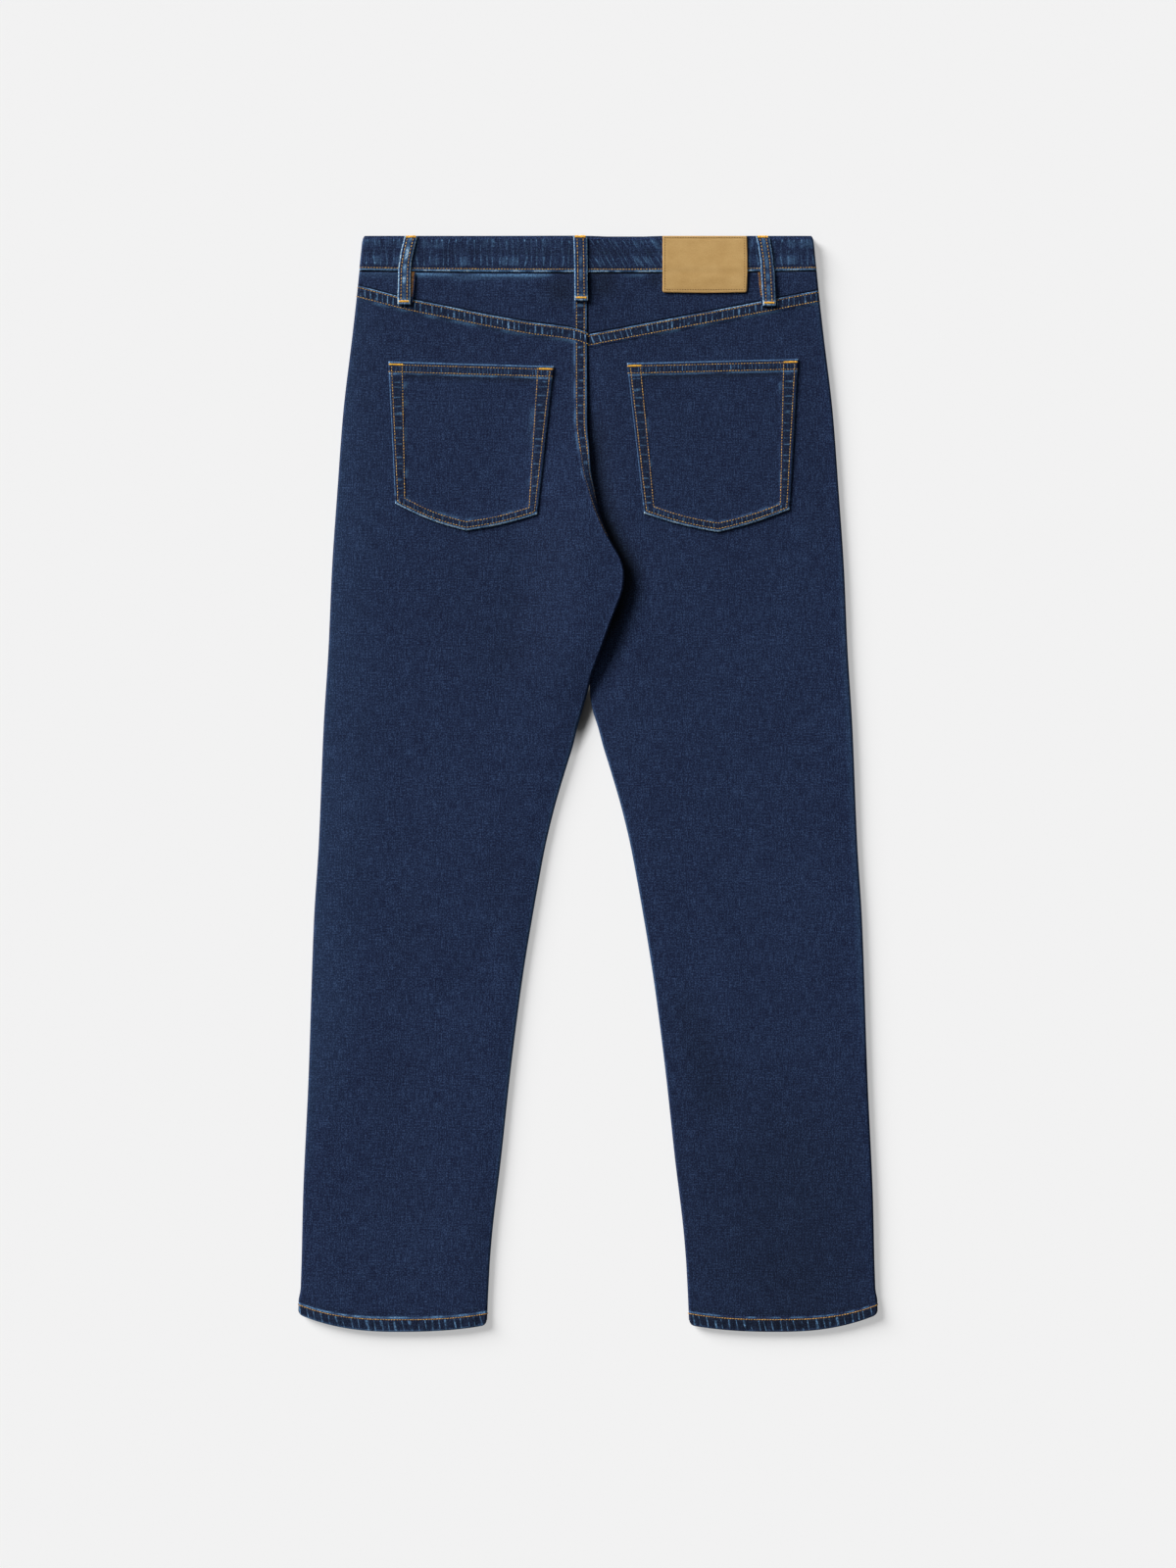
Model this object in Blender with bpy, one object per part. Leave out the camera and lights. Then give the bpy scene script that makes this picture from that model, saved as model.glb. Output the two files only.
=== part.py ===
"""Straight leg jeans, laid flat with the back up.

Every piece of cloth is a wall with an outer and an inner face, worked out from sections
across the garment. Sizes are in millimetres and turn to metres when a mesh is made.
X runs across, the wearer's left at -X. Z is up from the floor. "down" is the distance
below the waistband's top edge, so Y = LENGTH / 2 - down.
"""

import math
from collections import namedtuple

import bmesh
import bpy

MM = 0.001

# Driving sizes
LENGTH = 1118.0
CLOTH = 1.5
GAP = 0.3
HALF_GAP = GAP / 2
BAND_DEPTH = 36.5
BAND_CLOTH = 2.4
HEM_DEPTH = 12.5
HEM_CLOTH = 2.3
HEM_RISE = 0.5

# Rolled edges at the side seam and the inseam
BACK_ROLL = 9.0
FRONT_ROLL = 6.0
BACK_ROLL_ANGLES = (0.0, 22.5, 45.0, 67.5, 90.0)
FRONT_ROLL_ANGLES = (0.0, 30.0, 60.0, 90.0)
SEAM_SHARE = 0.42

LEFT = -1
RIGHT = 1

# Side seam: (down, distance from the centre line), the same on both legs
SIDE_SEAM = (
    (0, 230.0), (35, 233.5), (60, 236.0), (100, 240.5), (180, 250.0), (260, 256.0),
    (340, 261.5), (420, 265.0), (500, 270.0), (620, 275.0), (700, 280.0), (860, 285.5),
    (980, 291.0), (1074, 293.5), (1087, 295.6), (1118, 296.0),
)

# Inseam below the crotch: (down, distance from the centre line)
INSEAM = (
    (520, 15.3), (540, 21.5), (580, 33.3), (620, 43.0), (660, 50.6), (700, 57.6),
    (740, 64.2), (780, 70.0), (860, 80.0), (940, 88.6), (1020, 98.0), (1060, 101.0),
    (1118, 103.5),
)

# Inner edges from the waist to the crotch: (down, x). The left leg laps over the right.
LEFT_BACK_EDGE = (
    (0, -0.65), (190, -0.65), (215, 1.3), (240, 3.2), (258, 7.0), (278, 10.6),
    (293, 15.4), (305, 20.2), (319, 27.6), (331, 34.2), (345, 37.3), (357, 36.5),
    (374, 31.4), (390, 25.0), (408, 18.7), (429, 11.0), (446, 4.6), (466, -0.5),
    (483, -5.5), (500, -10.5),
)
RIGHT_BACK_EDGE = (
    (0, -0.35), (160, -0.35), (190, -0.3), (215, 0.2), (240, 1.2), (258, 2.6), (278, 4.9),
    (293, 9.6), (305, 11.0), (319, 10.0), (331, 9.0), (345, 8.0), (374, 8.0),
    (408, 4.0), (446, 1.5), (466, 2.0), (483, 4.6), (500, 10.0),
)
LEFT_FRONT_EDGE = (
    (0, -0.65), (215, -0.65), (240, -0.2), (258, 1.2), (278, 3.8), (293, 9.2),
    (305, 16.5), (319, 24.5), (331, 31.5), (345, 37.3),
)
RIGHT_FRONT_EDGE = (
    (0, -0.35), (215, -0.35), (240, 0.1), (258, 1.0), (278, 3.0), (293, 5.0), (305, 6.0),
    (319, 7.0), (331, 7.5), (345, 8.0),
)
CROTCH = 345

# Height of the back above the floor: (down, height)
THICKNESS = (
    (0, 8.1), (37, 8.0), (70, 7.6), (100, 7.0), (130, 6.65), (160, 6.5), (200, 6.4),
    (1118, 6.4),
)

# How far the left leg rises over the right one: (down, rise), full from LAP_EDGE on
LEFT_RISE = (
    (100, 0.0), (160, 0.8), (190, 1.4), (220, 2.1), (258, 3.4), (278, 4.2), (305, 5.0),
    (331, 5.3), (408, 5.3), (429, 4.5), (446, 3.5), (466, 1.4), (486, 0.5), (520, 0.0),
)
LAP_EDGE = ((0, -4.0), (258, -3.0), (305, 3.0), (345, 5.0), (408, 1.0), (446, -2.0), (520, -20.0))
RISE_WIDTH = 70.0

# How far the right back sinks beside the left one: (down, depth) and (down, width)
RIGHT_DIP = (
    (80, 0.0), (130, 0.6), (160, 1.0), (200, 1.6), (258, 2.3), (305, 2.5), (345, 2.4),
    (440, 2.3), (480, 1.2), (520, 0.0),
)
DIP_WIDTH = ((80, 25.0), (260, 32.0), (345, 45.0), (520, 45.0))

# Lower end of the left back's lip, where it lies on the right back: (down, height)
LIP_END = (
    (190, 5.4), (258, 4.5), (278, 4.5), (293, 5.6), (305, 6.8), (319, 7.8), (331, 8.0),
    (345, 8.14),
)
LIP_ROLL = (200, 320)

# Stack at the waist: the front stands on its loops and button
FRONT_STAND = 2.0
STAND_SIDE = (150, 222)
STAND_END = (75, 130)
BUTTON_STAND = 0.7
BUTTON_STAND_WIDTH = 50.0
BUTTON_STAND_END = (30, 95)
BAND_STAND_SHARE = 0.75
CENTRE_HUMP = 1.5
CENTRE_HUMP_X = -12.0
CENTRE_HUMP_WIDTH = 60.0
CENTRE_HUMP_END = (36, 110)
BAND_RISE = 0.6

# Yoke seam: (distance from the centre line, down)
YOKE_SEAM_LEFT = (
    (0, 98.5), (13, 94.2), (30, 91.4), (55, 88.4), (81, 84.0), (108, 79.0), (142, 72.0),
    (180, 64.4), (240, 49.0),
)
YOKE_SEAM_RIGHT = ((0, 100.4), (120, 77.5), (240, 54.6))

# Felled seams: the folded edge stands above the cloth beside it
FELL_RISE = 0.7
FELL_WIDTH = 12.0
YOKE_FELL_ROWS = ((0.0, 0.4), (1.2, FELL_RISE), (9.5, FELL_RISE), (11.0, 0.0))
FELL_COLUMNS = ((0.0, 0.4), (1.0, FELL_RISE), (FELL_WIDTH, FELL_RISE), (13.5, 0.0), (16.0, 0.0))
FELL_END = (300, 500)

# Hem: curved on the back, nearly straight on the front
HEM_MIDDLE = 0.53
HEM_CURVE = 2.4
HEM_DROP_OUTER = 18.0
HEM_DROP_INNER = 9.0
FRONT_HEM_OUTER = 1100.0
FRONT_HEM_INNER = 1108.5
FRONT_HEM_SAG = 3.0
LAST_FULL_ROW = 1060

# Front pocket scoop: a quarter ellipse from the waistband to the side seam
SCOOP_START = 105.0
SCOOP_WIDTH = 128.0
SCOOP_DEPTH = 75.0
FIRST_FULL_FRONT_ROW = 135

# Levels of the sections down the legs
ROWS = (
    160, 190, 215, 240, 258, 278, 293, 305, 319, 331, 345, 357, 374, 390, 408, 429,
    446, 466, 483, 500, 520, 540, 580, 620, 680, 740, 800, 860, 920, 980, 1020,
    LAST_FULL_ROW,
)
FIRST_FULL_BACK_ROW = 130

# Plateau columns, as shares of the width between the rolled edges
BACK_COLUMNS = (0.15, 0.3, 0.45, 0.6, 0.75, 0.9)
FRONT_COLUMNS_DISTANCE = (35.0, 70.0, 102.0, 105.5, 110.0, 122.0, 145.0, 180.0, 208.0)

# Large soft folds of the back: ends of the crest or trough, half width and height
Fold = namedtuple("Fold", "x_start down_start x_end down_end width height")
FOLDS = (
    Fold(-50, 580, -105, 770, 28, -0.45),
    Fold(-105, 770, -190, 800, 22, -0.35),
    Fold(-150, 310, -70, 400, 45, -0.40),
    Fold(-200, 870, -190, 1010, 40, -0.40),
    Fold(110, 530, 145, 800, 26, 0.45),
    Fold(75, 700, 140, 890, 32, -0.50),
    Fold(195, 880, 205, 1080, 45, -0.45),
    Fold(215, 160, 250, 330, 28, -0.35),
    Fold(-215, 420, -225, 640, 26, 0.40),
)

# Back pockets: corners (x, down)
Pocket = namedtuple("Pocket", "name outer_top inner_top inner_bottom point outer_bottom")
POCKETS = (
    Pocket("pocket_left", (-203.5, 128.0), (-35.2, 133.0), (-51.8, 284.0), (-124.0, 300.5),
           (-196.6, 273.0)),
    Pocket("pocket_right", (214.3, 125.5), (39.8, 129.7), (57.2, 283.0), (132.7, 302.0),
           (205.6, 279.0)),
)
POCKET_CLOTH = 1.4

# Leather patch
PATCH_LEFT = 76.0
PATCH_RIGHT = 161.8
PATCH_TOP = 0.3
PATCH_BOTTOM = 57.6
PATCH_CLOTH = 1.3
PATCH_CORNER = 2.5

# Belt loops: centre at the top edge, at the waistband seam and at the fold, then the fold
Loop = namedtuple("Loop", "name x_top x_seam x_fold fold_down width tail_shift")
BACK_LOOPS = (
    Loop("loop_back_left", -180.2, -187.1, -187.5, 69.0, 12.8, 4.5),
    Loop("loop_back_centre", -8.0, -7.0, -6.6, 65.6, 12.8, 0.0),
    Loop("loop_back_right", 177.8, 183.0, 184.9, 71.9, 13.4, -4.0),
)
FRONT_LOOPS = (
    Loop("loop_front_left", -104.0, -105.0, -105.0, 66.0, 12.8, 0.0),
    Loop("loop_front_right", 104.0, 105.0, 105.0, 66.0, 12.8, 0.0),
)
LOOP_CLOTH = 1.2
LOOP_CLEARANCE = 0.4
LOOP_BULGE = 0.5
LOOP_TOP = 0.6

# Waistband ends at the fly
BUTTONHOLE_END = 4.0
UNDERLAP_STEP = (16.0, 6.0)
UNDERLAP_END = -38.0
UNDERLAP_GAP = 0.4

# Tack button
BUTTON_X = -17.0
BUTTON_DOWN = 18.0
BUTTON_RADIUS = 8.5
BUTTON_CAP = 1.6
SHANK_RADIUS = 1.5
BUTTONHOLE_LENGTH = 9.0
BUTTONHOLE_WIDTH = 3.8

# Facing seen in the front pocket
FACING_CLOTH = 1.2
FACING_START = 92.0
FACING_LAP = 10.0
FACING_GAP = 0.4


def smooth_table(rows):
    """A function through a table's rows that never overshoots them."""
    places = [row[0] for row in rows]
    values = [row[1] for row in rows]
    last = len(rows) - 1
    rates = [(values[i + 1] - values[i]) / (places[i + 1] - places[i]) for i in range(last)]
    slopes = [rates[0]]
    for before, after in zip(rates, rates[1:]):
        same_way = before * after > 0
        slopes.append(2 * before * after / (before + after) if same_way else 0.0)
    slopes.append(rates[-1])

    def value(place):
        if place <= places[0]:
            return values[0]
        if place >= places[-1]:
            return values[-1]
        i = max(k for k in range(last) if places[k] <= place)
        width = places[i + 1] - places[i]
        share = (place - places[i]) / width
        rest = 1 - share
        start = values[i] * (1 + 2 * share) + slopes[i] * width * share
        end = values[i + 1] * (3 - 2 * share) - slopes[i + 1] * width * rest
        return start * rest * rest + end * share * share

    return value


def mix(start, end, share):
    return start + (end - start) * share


def ease(limits, place):
    """0 before the limits, 1 after them, smooth between."""
    share = min(max((place - limits[0]) / (limits[1] - limits[0]), 0.0), 1.0)
    return share * share * (3 - 2 * share)


side_seam = smooth_table(SIDE_SEAM)
thickness = smooth_table(THICKNESS)
left_rise = smooth_table(LEFT_RISE)
lap_edge = smooth_table(LAP_EDGE)
right_dip = smooth_table(RIGHT_DIP)
dip_width = smooth_table(DIP_WIDTH)
lip_end = smooth_table(LIP_END)
yoke_seams = {LEFT: smooth_table(YOKE_SEAM_LEFT), RIGHT: smooth_table(YOKE_SEAM_RIGHT)}

below_crotch_left = tuple((down, -x) for down, x in INSEAM)
below_crotch_right = INSEAM
left_leg = tuple(row for row in LEFT_BACK_EDGE if row[0] > CROTCH) + below_crotch_left
right_leg = tuple(row for row in RIGHT_BACK_EDGE if row[0] > CROTCH) + below_crotch_right
back_edges = {
    LEFT: smooth_table(LEFT_BACK_EDGE + below_crotch_left),
    RIGHT: smooth_table(RIGHT_BACK_EDGE + below_crotch_right),
}
front_edges = {
    LEFT: smooth_table(LEFT_FRONT_EDGE + left_leg),
    RIGHT: smooth_table(RIGHT_FRONT_EDGE + right_leg),
}


def fold_height(x, down):
    """Sum of the soft folds at a point of the back."""
    total = 0.0
    for fold in FOLDS:
        run_x = fold.x_end - fold.x_start
        run_down = fold.down_end - fold.down_start
        run = math.hypot(run_x, run_down)
        along = ((x - fold.x_start) * run_x + (down - fold.down_start) * run_down) / run
        beside = ((x - fold.x_start) * run_down - (down - fold.down_start) * run_x) / run
        past = max(-along, along - run, 0.0)
        total += fold.height * math.exp(-(beside ** 2 + past ** 2) / fold.width ** 2)
    return total


def front_stand(x, down):
    """Height of the front's outer face over the floor, away from the crotch."""
    across = 1 - ease(STAND_SIDE, abs(x))
    stand = FRONT_STAND * across * (1 - ease(STAND_END, down))
    button = BUTTON_STAND * math.exp(-(x / BUTTON_STAND_WIDTH) ** 2)
    return stand + button * (1 - ease(BUTTON_STAND_END, down))


def leg_rise(side, x, down):
    """Rise of the left leg where it lies over the right one."""
    if side == RIGHT:
        return 0.0
    edge = lap_edge(down)
    return left_rise(down) * ease((edge - RISE_WIDTH, edge), x)


def back_height(side, x, down):
    """Height of the back's outer face, away from its rolled edges."""
    hump = CENTRE_HUMP * math.exp(-((x - CENTRE_HUMP_X) / CENTRE_HUMP_WIDTH) ** 2)
    height = thickness(down) + hump * (1 - ease(CENTRE_HUMP_END, down)) + fold_height(x, down)
    if side == RIGHT:
        beside = (x - back_edges[LEFT](down)) / dip_width(down)
        height -= right_dip(down) * (1 - ease((0.0, 1.0), beside))
    return height + leg_rise(side, x, down)


def seam_height(down):
    """Height of the side seam."""
    return SEAM_SHARE * thickness(down)


def inseam_height(side, down):
    """Height of the inseam, on the leg that rises or the one that sinks."""
    if side == LEFT:
        return SEAM_SHARE * thickness(down) + left_rise(down)
    return SEAM_SHARE * (thickness(down) - right_dip(down))


def roll(radius, angle):
    """Distance from a rolled edge, and share of the way up, at an angle round it."""
    turn = math.radians(angle)
    return radius * (1 - math.cos(turn)), math.sin(turn)


def back_point(side, column, down, cloth, rise):
    """Outer and inner (x, z) of a back section, at a column counted from the inner edge."""
    inner_edge = side * back_edges[side](down)
    outer_edge = side_seam(down)
    ends = len(BACK_ROLL_ANGLES)
    middle = len(BACK_COLUMNS)
    rolled = ease(LIP_ROLL, down) if side == LEFT else ease((CROTCH - 30, CROTCH), down)
    if column < ends:
        fell_in, fell_rise = FELL_COLUMNS[column]
        roll_in, roll_up = roll(BACK_ROLL, BACK_ROLL_ANGLES[column])
        inside_in = CLOTH + roll(BACK_ROLL - CLOTH, BACK_ROLL_ANGLES[column])[0]
        place = inner_edge + mix(fell_in, roll_in, rolled)
        inside = inner_edge + mix(fell_in, inside_in, rolled)
        if side == RIGHT:
            fell_rise = 0.0
        top = back_height(side, side * place, down) + rise
        low = inseam_height(side, down) + HALF_GAP
        if side == LEFT and down < CROTCH:
            low = lip_end(down)
        fell_height = top + fell_rise * (1 - ease(FELL_END, down))
        roll_height = mix(low, top, roll_up)
        roll_inside = mix(low, top - cloth, roll_up)
        height = mix(fell_height, roll_height, rolled)
        inside_height = mix(top - cloth, roll_inside, rolled)
        return (side * place, height), (side * inside, inside_height)
    if column < ends + middle:
        start = inner_edge + mix(FELL_COLUMNS[-1][0], BACK_ROLL, rolled)
        place = mix(start, outer_edge - BACK_ROLL, BACK_COLUMNS[column - ends])
        top = back_height(side, side * place, down) + rise
        return (side * place, top), (side * place, top - cloth)
    angle = BACK_ROLL_ANGLES[ends + middle + ends - 1 - column]
    outside_in, share = roll(BACK_ROLL, angle)
    inside_in = CLOTH + roll(BACK_ROLL - CLOTH, angle)[0]
    top = back_height(side, side * (outer_edge - outside_in), down) + rise
    low = seam_height(down) + HALF_GAP
    outer = (side * (outer_edge - outside_in), mix(low, top, share))
    inner = (side * (outer_edge - inside_in), mix(low, top - cloth, share))
    return outer, inner


def front_point(side, column, down, cloth):
    """Outer and inner (x, z) of a front section, at a column counted from the inner edge."""
    inner_edge = side * front_edges[side](down)
    outer_edge = side_seam(down)
    ends = len(FRONT_ROLL_ANGLES)
    middle = len(FRONT_COLUMNS_DISTANCE)
    rolled = ease((CROTCH - 26, CROTCH), down)

    def height(place):
        x = side * place
        return front_stand(x, down) + leg_rise(side, x, down)

    if column < ends:
        out_in, share = roll(FRONT_ROLL, FRONT_ROLL_ANGLES[column])
        inside_in = CLOTH + roll(FRONT_ROLL - CLOTH, FRONT_ROLL_ANGLES[column])[0]
        flat_in = FRONT_ROLL * column / (ends - 1)
        place = inner_edge + mix(flat_in, out_in, rolled)
        inside = inner_edge + mix(flat_in, inside_in, rolled)
        low = height(place)
        seam = inseam_height(side, down) - HALF_GAP
        outer = mix(low, mix(seam, low, share), rolled)
        inner = mix(low + cloth, mix(seam, low + cloth, share), rolled)
        return (side * place, outer), (side * inside, inner)
    if column < ends + middle:
        first = FRONT_ROLL
        last = side_seam(BAND_DEPTH) - FRONT_ROLL
        share = (FRONT_COLUMNS_DISTANCE[column - ends] - first) / (last - first)
        place = mix(inner_edge + FRONT_ROLL, outer_edge - FRONT_ROLL, share)
        low = height(place)
        return (side * place, low), (side * place, low + cloth)
    angle = FRONT_ROLL_ANGLES[ends + middle + ends - 1 - column]
    outside_in, share = roll(FRONT_ROLL, angle)
    inside_in = CLOTH + roll(FRONT_ROLL - CLOTH, angle)[0]
    low = height(outer_edge - outside_in)
    seam = seam_height(down) - HALF_GAP
    outer = (side * (outer_edge - outside_in), mix(seam, low, share))
    inner = (side * (outer_edge - inside_in), mix(seam, low + cloth, share))
    return outer, inner


def spot(x, down, height):
    return (x * MM, (LENGTH / 2 - down) * MM, height * MM)


def add_object(name, mesh, material):
    body = bpy.data.objects.new(name, mesh)
    bpy.context.collection.objects.link(body)
    mesh.materials.append(material)
    return body


def closed_mesh(name, vertices, faces):
    """A mesh from points and faces, its faces turned outwards."""
    mesh = bpy.data.meshes.new(name)
    mesh.from_pydata(vertices, [], faces)
    work = bmesh.new()
    work.from_mesh(mesh)
    bmesh.ops.recalc_face_normals(work, faces=work.faces)
    work.to_mesh(mesh)
    work.free()
    mesh.shade_smooth()
    mesh.set_sharp_from_angle(angle=math.radians(35))
    return mesh


def wall_mesh(name, outer, inner):
    """A closed wall between two grids of points, which have the same rows and columns."""
    rows = len(outer)
    columns = len(outer[0])
    vertices = [point for row in outer for point in row] + [point for row in inner for point in row]
    inside = rows * columns
    faces = []
    for i in range(rows - 1):
        for j in range(columns - 1):
            a = i * columns + j
            b = a + 1
            c = a + columns + 1
            d = a + columns
            faces.append((a, b, c, d))
            faces.append((inside + d, inside + c, inside + b, inside + a))
    rim = [j for j in range(columns)]
    rim += [i * columns + columns - 1 for i in range(1, rows)]
    rim += [(rows - 1) * columns + j for j in range(columns - 2, -1, -1)]
    rim += [i * columns for i in range(rows - 2, 0, -1)]
    for k, a in enumerate(rim):
        b = rim[(k + 1) % len(rim)]
        faces.append((b, a, inside + a, inside + b))
    return closed_mesh(name, vertices, faces)


def panel(name, side, rows, columns, point, material):
    """A panel of cloth: rows are (down at x, cloth, rise), point gives its sections."""
    outer = []
    inner = []
    for level in rows:
        outer_row = []
        inner_row = []
        for column in range(columns):
            down = level.nominal
            for _ in range(3):
                x = point(side, column, down, level.cloth, level.rise)[0][0]
                down = level.down(side, x)
            out, into = point(side, column, down, level.cloth, level.rise)
            outer_row.append(spot(out[0], down, out[1]))
            inner_row.append(spot(into[0], down, into[1]))
        outer.append(outer_row)
        inner.append(inner_row)
    body = add_object(name, wall_mesh(name, outer, inner), material)
    return body, outer


Level = namedtuple("Level", "nominal down cloth rise")


def straight(down, cloth=CLOTH, rise=0.0):
    return Level(down, lambda side, x: down, cloth, rise)


def yoke_seam(side, x):
    return yoke_seams[side](abs(x))


def back_hem(side, x):
    """Lowest edge of the back at x: a curve that rises to both seams."""
    outer = side_seam(LENGTH)
    inner = abs(back_edges[side](LENGTH))
    place = (outer - abs(x)) / (outer - inner)
    beside = abs(place - HEM_MIDDLE) / HEM_MIDDLE
    drop = HEM_DROP_OUTER if place < HEM_MIDDLE else HEM_DROP_INNER
    return LENGTH - drop * beside ** HEM_CURVE


def front_hem(side, x):
    outer = side_seam(LENGTH)
    inner = abs(front_edges[side](LENGTH))
    place = min(max((outer - abs(x)) / (outer - inner), 0.0), 1.0)
    straight_edge = mix(FRONT_HEM_OUTER, FRONT_HEM_INNER, place)
    return straight_edge + FRONT_HEM_SAG * math.sin(math.pi * place)


def scoop(side, x):
    """Top edge of the front: straight to the pocket, then down its scoop."""
    top = BAND_DEPTH + HALF_GAP
    from_seam = (SCOOP_START + SCOOP_WIDTH - abs(x)) / SCOOP_WIDTH
    if from_seam >= 1:
        return top
    return top + SCOOP_DEPTH * math.sqrt(1 - max(from_seam, 0.0) ** 2)


def hem_levels(hem, rise):
    """Rows of a hem: the step where it is turned up, and its lower edge."""
    def above(distance):
        return lambda side, x: hem(side, x) - distance

    return [
        Level(LENGTH, above(HEM_DEPTH + 1), CLOTH, 0.0),
        Level(LENGTH, above(HEM_DEPTH), HEM_CLOTH, rise),
        Level(LENGTH, above(1), HEM_CLOTH, rise),
        Level(LENGTH, above(0), HEM_CLOTH - 0.8, rise - 0.4 if rise else 0.0),
    ]


def back_levels():
    def below(distance):
        return lambda side, x: yoke_seam(side, x) + HALF_GAP + distance

    def halfway(side, x):
        return (yoke_seam(side, x) + YOKE_FELL_ROWS[-1][0] + FIRST_FULL_BACK_ROW) / 2

    levels = [Level(80, below(distance), CLOTH, rise) for distance, rise in YOKE_FELL_ROWS]
    levels.append(Level(110, halfway, CLOTH, 0.0))
    levels.append(straight(FIRST_FULL_BACK_ROW))
    levels += [straight(down) for down in ROWS]
    return levels + hem_levels(back_hem, HEM_RISE)


def yoke_levels():
    top = BAND_DEPTH + HALF_GAP

    def between(share):
        return lambda side, x: mix(top, yoke_seam(side, x) - HALF_GAP, share)

    return [Level(70, between(share), CLOTH, 0.0) for share in (0.0, 0.33, 0.67, 1.0)]


def front_levels():
    def between(share):
        return lambda side, x: mix(scoop(side, x), FIRST_FULL_FRONT_ROW, share)

    levels = [Level(80, between(share), CLOTH, 0.0) for share in (0.0, 0.25, 0.5, 0.75)]
    levels.append(straight(FIRST_FULL_FRONT_ROW))
    levels += [straight(down) for down in ROWS]
    return levels + hem_levels(front_hem, 0.0)


def add_backs(denim):
    columns = 2 * len(BACK_ROLL_ANGLES) + len(BACK_COLUMNS)
    outers = {}
    for side, word in ((LEFT, "left"), (RIGHT, "right")):
        name = "back_" + word
        outers[side] = panel(name, side, back_levels(), columns, back_point, denim)[1]
        panel("yoke_" + word, side, yoke_levels(), columns, back_point, denim)
    return outers


def add_fronts(denim):
    columns = 2 * len(FRONT_ROLL_ANGLES) + len(FRONT_COLUMNS_DISTANCE)

    def point(side, column, down, cloth, rise):
        return front_point(side, column, down, cloth)

    for side, word in ((LEFT, "left"), (RIGHT, "right")):
        panel("front_" + word, side, front_levels(), columns, point, denim)


def band_bottom(x, down):
    return BAND_STAND_SHARE * front_stand(x, down)


def band_top(x, down):
    return back_height(RIGHT, x, down) + BAND_RISE


def band_section(down):
    """Outer and inner points of the waistband at one level, from end to end."""
    outer_edge = side_seam(down)
    seam = seam_height(down)
    outer = []
    inner = []

    def add(x_out, z_out, x_in, z_in):
        outer.append((x_out, z_out))
        inner.append((x_in, z_in))

    def add_side(side, angles, radius, upper):
        for angle in angles:
            out_in, share = roll(radius, angle)
            inside_in = BAND_CLOTH + roll(radius - BAND_CLOTH, angle)[0]
            x = side * (outer_edge - out_in)
            if upper:
                z_out = mix(seam, band_top(x, down), share)
                z_in = mix(seam, band_top(x, down) - BAND_CLOTH, share)
            else:
                z_out = mix(seam, band_bottom(x, down), share)
                z_in = mix(seam, band_bottom(x, down) + BAND_CLOTH, share)
            add(x, z_out, side * (outer_edge - inside_in), z_in)

    front = (0.0, 30.0, 60.0, 90.0, 118.0, 146.0, 172.0, 198.0)
    back = (200.0, 172.0, 144.0, 116.0, 88.0, 60.0, 36.0, 12.0)
    for distance in front:
        x = BUTTONHOLE_END - distance
        low = band_bottom(x, down)
        add(x, low, x, low + BAND_CLOTH)
    add_side(LEFT, reversed(FRONT_ROLL_ANGLES), FRONT_ROLL, False)
    add_side(LEFT, BACK_ROLL_ANGLES[1:], BACK_ROLL, True)
    for x in [-distance for distance in back] + list(reversed(back)):
        top = band_top(x, down)
        add(x, top, x, top - BAND_CLOTH)
    add_side(RIGHT, list(reversed(BACK_ROLL_ANGLES)), BACK_ROLL, True)
    add_side(RIGHT, FRONT_ROLL_ANGLES[1:], FRONT_ROLL, False)
    for x in (200.0, 172.0, 146.0, 118.0, 90.0, 62.0, 38.0, UNDERLAP_STEP[0]):
        low = band_bottom(x, down)
        add(x, low, x, low + BAND_CLOTH)
    for x in (UNDERLAP_STEP[1], -16.0, UNDERLAP_END):
        low = band_bottom(x, down) + BAND_CLOTH + UNDERLAP_GAP
        add(x, low, x, low + BAND_CLOTH)
    return outer, inner


def cut(body, cutter):
    """Take a cutter's shape out of a body, then remove the cutter."""
    modifier = body.modifiers.new("cut", "BOOLEAN")
    modifier.operation = "DIFFERENCE"
    modifier.object = cutter
    apply_modifiers(body)
    bpy.data.objects.remove(cutter)


def apply_modifiers(body):
    shapes = bpy.context.evaluated_depsgraph_get()
    mesh = bpy.data.meshes.new_from_object(body.evaluated_get(shapes))
    body.modifiers.clear()
    body.data = mesh


def prism(name, outline, low, high, material):
    """A straight prism over an outline of (x, down) points."""
    count = len(outline)
    vertices = [spot(x, down, low) for x, down in outline]
    vertices += [spot(x, down, high) for x, down in outline]
    faces = [tuple(range(count)), tuple(range(2 * count - 1, count - 1, -1))]
    for k in range(count):
        after = (k + 1) % count
        faces.append((after, k, count + k, count + after))
    return add_object(name, closed_mesh(name, vertices, faces), material)


def round_slot(x, down, length, width, steps):
    """Outline of a slot with half-round ends, lying across the garment."""
    reach = (length - width) / 2
    outline = []
    for end in (RIGHT, LEFT):
        for k in range(steps + 1):
            turn = math.radians(-90 + 180 * k / steps)
            outline.append((
                x + end * (reach + width / 2 * math.cos(turn)),
                down + end * width / 2 * math.sin(turn),
            ))
    return outline


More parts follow.
